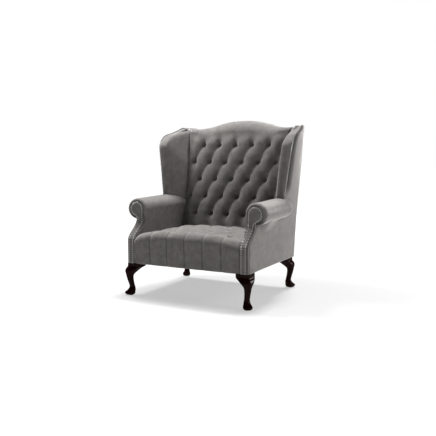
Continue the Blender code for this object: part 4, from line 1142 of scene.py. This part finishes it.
def wing(side, sign):
    """Inside wing and its rounded border, which sweeps back over the top to the rear corner, and its nails"""
    line, normal = wing_outline()
    y, z = line[:, 0], line[:, 1]
    run = np.linspace(0.0, 1.0, len(line))
    sweep = wing_sweep(z)
    outer = side_x(y, z)
    thickness = lerp(WING_FOOT_THICKNESS, WING_THICKNESS, smooth((z - WING_BASE) / WING_FOOT_HEIGHT))
    inner = np.maximum(outer - thickness, back_half(z) + SEAM)
    corner = run[np.argmax(z > WING_TOP - GAP)]
    join_low = float(roll_z(ARM_END)) + WING_JOIN_RISE
    join_z = lerp(join_low, CREST_SHOULDER - WING_JOIN_DROP, clamp(run / corner))
    join_x = back_half(join_z) + SEAM / 2
    join_y = button_plane_y(SEAT_REAR_HALF, join_z) + WING_JOIN_DEPTH
    join_y = lerp(join_y, float(panel_y(WING_TOP)) - SEAM, clamp((run - corner) / (1 - corner)))
    columns = []
    for angle in np.linspace(0.0, math.pi, WING_NOSE_POINTS):
        across = math.copysign(abs(math.cos(angle)) ** WING_NOSE_POWER, math.cos(angle))
        share = (1 - across) / 2
        out = WING_NOSE * math.sin(angle) ** WING_NOSE_POWER if 0 < angle < math.pi else 0.0
        out = out * (WING_TOP_PUFF + (1 - WING_TOP_PUFF) * normal[:, 0] ** WING_PUFF_POWER)
        x = lerp(outer, inner, share)
        drop = WING_TOP_DROP * smooth((z - WING_DROP_Z) / (WING_TOP - WING_DROP_Z)) * share ** WING_DROP_POWER
        columns.append(joined(x, y + normal[:, 0] * out, z + normal[:, 1] * out - drop))
    edge = columns[-1]
    join = joined(join_x, join_y, join_z)
    for t in shares(WING_FACE_STEPS):
        point = lerp(edge, join, t)
        bulge = WING_BULGE * 4 * t * (1 - t) * (1 - sweep)
        point[:, 0] = np.maximum(point[:, 0] - bulge, join_x)
        columns.append(point)
    sections = np.stack(columns, axis=1)
    ease = lerp(WING_EASE_LOW, 1.0, smooth(sweep * WING_EASE_RATE) ** WING_EASE_POWER)[:, None, None]
    for _ in range(WING_EASE):
        level = (sections[:, :-2] + 2 * sections[:, 1:-1] + sections[:, 2:]) / 4
        sections[:, 1:-1] = lerp(sections[:, 1:-1], level, ease)
    foot = sections[0]
    settle = roll_top_z(foot[:, 0], np.minimum(foot[:, 1], ROLL_END)) + SEAM - foot[:, 2]
    sections[:, :, 2] += (1 - smooth(run / WING_SETTLE))[:, None] * settle[None, :]
    fade = 1 - smooth(sweep * WING_WALL_RATE - WING_WALL_START)
    depth = WING_WALL * (outer - inner) * fade + WING_WALL_LEAST
    wall = sections[:, 0] - np.column_stack([depth, WING_WALL_LEAST * normal])
    rim = lerp(sections[:, 0], wall, WING_RIM)
    sections = np.concatenate([sections, wall[:, None], rim[:, None]], axis=1)
    # Painted shade on the border's first columns beside the nails, fading out as the wing sweeps back
    painted_shade = np.zeros(sections.shape[:2])
    painted_shade[:, :WING_PAINTED_SHADE_COLUMNS] = 1 - smooth(np.arange(WING_PAINTED_SHADE_COLUMNS) / WING_PAINTED_SHADE_COLUMNS)
    painted_shade *= 1 - smooth(WING_PAINTED_SHADE_SWEEP * sweep)[:, None]
    upholster(f"{side}_wing", closed_loft(on_side(sections, sign)), f"{side}_wing_pad", painted_shade)

    spots = evenly(np.column_stack([outer, y, z, normal]), NAIL_PITCH)[1:-1]
    outwards = spots[:, 3:]
    normals = np.column_stack([np.full(len(spots), sign * 1.0), NAIL_TILT * outwards])
    places = np.column_stack([sign * (spots[:, 0] - NAIL_SINK), spots[:, 1:3] + NAIL_OUT * outwards])
    points, faces = domes(places, normals, NAIL_RADIUS, NAIL_HEIGHT)
    # Painted shade, with more roughness, on the nails near the top of the wing, where the lamps' highlights
    # fall strongest
    dull_shade = smooth((points[:, 2] - NAIL_DULL_SHADE_Z) / NAIL_DULL_SHADE_SPAN)
    add_piece(f"{side}_wing_nails", (points, faces), PEWTER, painted_shade=dull_shade)


def round_over(grid, kept, radius):
    """Distance that a cover's face falls away near its edges, by each point's distance to the rim"""
    around = np.pad(kept, 1)
    touching = np.stack([around[:-1, :-1], around[:-1, 1:], around[1:, :-1], around[1:, 1:]])
    rim = grid[touching.any(axis=0) & ~touching.all(axis=0)]
    points = grid.reshape(-1, 1, 2)
    distance = np.full(len(points), np.inf)
    for start in range(0, len(rim), RIM_BATCH):
        apart = np.linalg.norm(points - rim[None, start:start + RIM_BATCH], axis=2)
        distance = np.minimum(distance, apart.min(axis=1))
    return (radius * rounded(distance / radius)).reshape(grid.shape[:2])


def front_fall(y, z):
    """Distance that the outside cover falls away to the facing and, further, to the nails of the wing, less
    its fullness behind them"""
    arm_rows = slice(0, COVER_ARM_ROWS)
    notch = slice(COVER_ARM_ROWS, COVER_ARM_ROWS + COVER_NOTCH_ROWS)
    wing_rows = slice(notch.stop, None)
    away = y - y[:, COVER_AHEAD - 1:COVER_AHEAD]
    fall = np.zeros_like(y)
    fall[arm_rows] = ARM_ROUND * rounded((y[arm_rows] - y[arm_rows, :1]) / ARM_ROUND_WIDTH)
    grow = smooth((z[wing_rows] - WING_BASE) / WING_ROUND_WIDTH)
    fall[wing_rows] = WING_ROUND * grow * rounded(away[wing_rows] / WING_ROUND_WIDTH)
    full = np.full_like(y, SIDE_FULLNESS)
    behind = clamp((panel_y(z[wing_rows]) - y[wing_rows]) / WING_REAR_FADE)
    full[wing_rows] += (WING_FULLNESS - SIDE_FULLNESS) * grow * smooth(behind)
    full[notch] *= smooth(away[notch] / ARM_ROUND_WIDTH)
    return fall - full


def lip_share(y):
    """Share of the cover's lip, which sweeps out under the arm roll between the facing and the wing"""
    return smooth((y - LIP_START) / LIP_GROW) * (1 - smooth((y - LIP_END) / LIP_SHRINK))


def cover_grid():
    """Rows of y and z over the outside arm and wing. Above the arm, the columns ahead fold into the edge"""
    wing_y = float(wing_front_y(WING_BASE)) + PANEL_LAP + GAP
    rows = []

    def add_row(front, front_z, y, z):
        folded = np.tile([front, front_z], (COVER_AHEAD - 1, 1))
        rows.append(np.concatenate([folded, joined(y, z)]))

    for share in np.linspace(0.0, 1.0, COVER_ARM_ROWS):
        z = lerp(BODY_BASE, ARM_LINE - GAP, share)
        ahead = np.linspace(float(behind_facing(z)), wing_y, COVER_AHEAD)
        places = np.concatenate([ahead, np.linspace(wing_y, float(panel_y(z)), COVER_BEHIND)[1:]])
        under = roll_z(places) - ROLL_RADIUS * lerp(1.0, math.sin(LIP_ANGLE), lip_share(places)) - GAP
        rows.append(joined(places, lerp(BODY_BASE, under, share)))
    base = rows[-1][COVER_AHEAD - 1:, 1]
    for share in shares(COVER_NOTCH_ROWS):
        z = lerp(base, WING_BASE, share)
        lift = (z[0] - float(roll_z(ROLL_END))) / ROLL_RADIUS
        front = lerp(wing_y, ROLL_END + 2 * GAP, math.sqrt(max(1 - lift * lift, 0.0)))
        add_row(front, z[0], lerp(front, panel_y(z), np.linspace(0.0, 1.0, COVER_BEHIND)), z)
    for share in shares(COVER_WING_ROWS):
        z = lerp(WING_BASE, WING_TOP, share)
        front = float(wing_front_y(z)) + PANEL_LAP + GAP
        y = np.linspace(front, float(panel_y(z)), COVER_BEHIND)
        add_row(front, z, y, np.full_like(y, z))
    return np.array(rows)


def outside_cover(side, sign):
    """Outside arm and wing in one cloth, cut out round the end of the arm roll"""
    grid = cover_grid()
    kept = np.ones((grid.shape[0] - 1, grid.shape[1] - 1), bool)
    kept[COVER_ARM_ROWS - 1:, :COVER_AHEAD - 1] = False
    y, z = grid[:, :, 0], grid[:, :, 1]
    x = side_x(y, z)
    fall = round_over(grid, kept, COVER_EDGE)
    fall[:, -COVER_FLAT_COLUMNS:] = 0.0
    fall = fall + front_fall(y, z)
    under = (z - roll_z(y)) / ROLL_RADIUS
    by_roll = (np.abs(under) < 1) & (y < ROLL_END - ROLL_CAP)
    beside = np.where(by_roll, np.sqrt(np.maximum(1 - under ** 2, 0.0)), 0.0)
    roll_x = np.where(beside > 0, ROLL_X + ROLL_REACH * beside + GAP, 0.0)
    lip_z = roll_z(y) - ROLL_RADIUS * math.sin(LIP_ANGLE)
    lip_x = ROLL_X + ROLL_REACH * math.cos(LIP_ANGLE) + LIP_OUT - side_x(y, lip_z)
    flare = lip_x * lip_share(y) * clamp(1 - (lip_z - z) / LIP_HEIGHT) ** LIP_POWER
    flare[COVER_ARM_ROWS:] = 0.0
    fall = fall * (1 - smooth(flare / LIP_FADE))
    front = joined(x - fall + flare, y, z)
    rear = joined(np.minimum(np.maximum(x - PANEL, roll_x), front[:, :, 0] - GAP), y, z)
    shape = closed_between(on_side(front, sign), on_side(rear, sign), kept)
    # Painted shade on the cover just behind the wing's nails, where it falls away into shade
    away = (y - y[:, COVER_AHEAD - 1:COVER_AHEAD] - COVER_PAINTED_SHADE_START) / COVER_PAINTED_SHADE_WIDTH
    painted_shade = (1 - smooth(away)) * smooth((z - WING_BASE) / WING_ROUND_WIDTH)
    upholster(f"{side}_outside_cover", shape, f"{side}_outside_panel", [painted_shade, painted_shade])


def outside_back():
    """Plain outside back, up to the crest and the ends of the wings"""
    count = OUTSIDE_BACK_CELLS + 1
    x = np.broadcast_to(np.linspace(-X_OUT, X_OUT, count), (count, count))
    z = lerp(BODY_BASE, back_top_z(x), np.linspace(0.0, 1.0, count)[:, None])
    kept = np.ones((OUTSIDE_BACK_CELLS, OUTSIDE_BACK_CELLS), bool)
    fall = round_over(joined(x, z), kept, BACK_EDGE)
    outer = joined(x, rear_y(z) - fall, z)
    inner = joined(x, rear_y(z) - PANEL, z)
    upholster("outside_back", closed_between(outer, inner), "outside_back_panel")


# Legs
def leg_station(position):
    """Leg section between stations, on a smooth curve through them"""
    last = len(LEG_STATIONS) - 1
    i = min(int(position), last - 1)
    t = position - i
    values = []
    for a, b, c, d in zip(*[LEG_STATIONS[min(max(i + k, 0), last)] for k in (-1, 0, 1, 2)]):
        values.append(b + 0.5 * t * (c - a + t * (2 * a - 5 * b + 4 * c - d + t * (3 * (b - c) + d - a))))
    share, centre, along, across, square = values
    return share, centre * LEG_BLOCK, along * LEG_BLOCK, across * LEG_BLOCK, square


def cabriole_leg(name, sign, toward):
    """Leg from its square knee block at the body's corner to the round pad foot on its glide"""
    corner_x = X_OUT + (FRONT_LEG_OUT if toward > 0 else 0.0)
    corner_y = 0.0 if toward > 0 else BODY_DEPTH - REAR_LEG_INSET
    low = GLIDE_HEIGHT + GAP
    height = BODY_BASE - GAP
    root = math.sqrt(2)
    turn = 2 * math.pi * (np.arange(LEG_SIDES) + 0.5) / LEG_SIDES
    c, s = np.cos(turn), np.sin(turn)
    sections = []
    steps = (len(LEG_STATIONS) - 1) * LEG_STEPS
    for step in range(steps + 1):
        share, centre, along_size, across_size, square = leg_station(step / LEG_STEPS)
        reach = (np.abs(c) ** square + np.abs(s) ** square) ** (-1 / square)
        inward = centre + (c + s) * reach / root * along_size
        across = (c - s) * reach / root * across_size
        x = sign * corner_x - sign * (inward + across) / root
        y = corner_y + toward * (inward - across) / root
        sections.append(joined(x, y, np.full_like(x, max(share * height, low))))
    add_piece(f"{name}_cabriole", closed_loft(np.array(sections)), MAHOGANY, [f"{name}_leg"])


# Dust cover
def between_marks(marks, middle):
    """Places over three spans: beside a leg, between the legs and beside the other leg"""
    spans = zip(marks, marks[1:], (DUST_LEG_CELLS, middle, DUST_LEG_CELLS))
    places = [np.linspace(a, b, count + 1)[:-1] for a, b, count in spans]
    return np.concatenate([*places, marks[-1:]])


def dust_cover():
    """Thin cloth tacked under the rails, sagging a little between them and cut out round the legs"""
    low, high = COVER_LOW, COVER_HIGH
    inset = X_OUT - LEG_BLOCK - DUST_LEG_GAP
    leg_front = LEG_BLOCK + DUST_LEG_GAP + BODY_FRONT
    leg_rear = BODY_DEPTH - REAR_LEG_INSET - LEG_BLOCK - DUST_LEG_GAP + BODY_FRONT
    across = between_marks((low.x, -inset, inset, high.x), DUST_ACROSS)
    along = between_marks((low.y, leg_front, leg_rear, high.y), DUST_ALONG)
    x, y = np.meshgrid(across, along)
    mid_x = (across[:-1] + across[1:]) / 2
    mid_y = (along[:-1] + along[1:]) / 2
    by_leg = (np.abs(mid_x)[None, :] > inset) & ((mid_y < leg_front) | (mid_y > leg_rear))[:, None]
    run = clamp((y - low.y) / (high.y - low.y))
    sag = DUST_SAG * np.abs(np.sin(math.pi * x / high.x)) * np.sin(math.pi * run)
    top = joined(x, y - BODY_FRONT, high.z - sag)
    under = top - (0.0, 0.0, DUST_CLOTH_THICKNESS)
    shape = closed_between(under, top, ~by_leg)
    piece = add_piece("dust_cloth", shape, DUST_CLOTH, ["dust_cover"])


inside_back()
seat()
outside_back()
for label, direction in SIDES:
    arm(label, direction)
    facing(label, direction)
    wing(label, direction)
    outside_cover(label, direction)
for end, inwards in ENDS:
    for label, direction in SIDES:
        cabriole_leg(f"{end}_{label}", direction, inwards)
dust_cover()

# Finishes of the frame's own pieces that stay
STAYING = {"glide": NYLON, "bolt": STEEL, "spring": STEEL, "strap": WEBBING}
for node_name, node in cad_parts.items():
    finish = BEECH
    for word, material in STAYING.items():
        if word in node_name:
            finish = material
    node.data.materials.clear()
    node.data.materials.append(finish)


# Floor, light and camera
def floor():
    """White floor that grows into the white background away from the chair"""
    corners = [(x * FLOOR_HALF, y * FLOOR_HALF, 0) for x, y in ((-1, -1), (1, -1), (1, 1), (-1, 1))]
    mesh = bpy.data.meshes.new("floor")
    mesh.from_pydata(corners, [], [(0, 1, 2, 3)])
    material, tree, shader = new_material("white_floor")
    away = add_node(tree, "VectorMath")
    away.operation = "LENGTH"
    feed(away, {0: add_node(tree, "TexCoord").outputs["Object"]})
    glow = add_node(tree, "MapRange", {**FLOOR_GLOW, "Value": away.outputs["Value"]})
    feed(shader, {
        "Base Color": FLOOR_GREY,
        "Emission Color": WHITE,
        "Emission Strength": glow.outputs["Result"],
        "Roughness": 0.9,
        "Specular IOR Level": 0.1,
    })
    mesh.materials.append(material)
    add_object("floor", mesh)


def bearing(azimuth, elevation):
    """Direction by azimuth, from the front towards the right, and elevation, in degrees"""
    a, e = math.radians(azimuth), math.radians(elevation)
    return Vector((math.sin(a) * math.cos(e), -math.cos(a) * math.cos(e), math.sin(e)))


def look_back(source):
    """Turn of a lamp or camera that looks back along the direction to it"""
    return source.to_track_quat("Z", "Y").to_euler()


def sun(name, azimuth, elevation, strength, spread):
    """Soft light from a direction"""
    light = bpy.data.lights.new(name, "SUN")
    light.energy = strength
    light.angle = math.radians(spread)
    add_object(name, light).rotation_euler = look_back(bearing(azimuth, elevation))


def softbox(name, place, aim, power, size):
    """Round lamp near the chair, so that what stands higher is lit more"""
    light = bpy.data.lights.new(name, "AREA")
    light.shape = "DISK"
    light.size = size
    light.energy = power
    lamp = add_object(name, light)
    lamp.location = place
    lamp.rotation_euler = look_back(Vector(place) - Vector(aim))


def white_world():
    """White background to the camera, and a weaker even light on the chair"""
    world = bpy.data.worlds.new("studio")
    world.use_nodes = True
    tree = world.node_tree
    tree.nodes.clear()
    inputs = {"Fac": add_node(tree, "LightPath").outputs["Is Camera Ray"]}
    for socket, strength in ((1, WORLD_CAST), (2, WORLD_SEEN)):
        background = add_node(tree, "Background", {"Strength": strength, "Color": WHITE})
        inputs[socket] = background.outputs["Background"]
    blend = add_node(tree, "MixShader", inputs)
    add_node(tree, "OutputWorld", {"Surface": blend.outputs["Shader"]})
    bpy.context.scene.world = world


def camera():
    """Camera at the photograph's viewing angle"""
    data = bpy.data.cameras.new("camera")
    data.lens = CAMERA_LENS
    data.sensor_width = CAMERA_SENSOR
    view = add_object("camera", data)
    out = bearing(CAMERA_AZIMUTH, CAMERA_ELEVATION)
    view.location = Vector(CAMERA_TARGET) + Vector((0.0, BODY_FRONT, 0.0)) + out * CAMERA_DISTANCE
    view.rotation_euler = look_back(out)
    bpy.context.scene.camera = view


floor()
white_world()
softbox("left", place=(-1.27, 0.07, 3.02), aim=(0.0, 0.10, 0.75), power=100.0, size=0.9)
sun("top", azimuth=180.0, elevation=70.0, strength=4.0, spread=12.0)
sun("right", azimuth=90.0, elevation=32.0, strength=0.95, spread=24.0)
sun("rear", azimuth=147.0, elevation=9.0, strength=1.9, spread=20.0)
camera()
bpy.context.scene.view_settings.view_transform = "Standard"

bpy.context.view_layer.update()
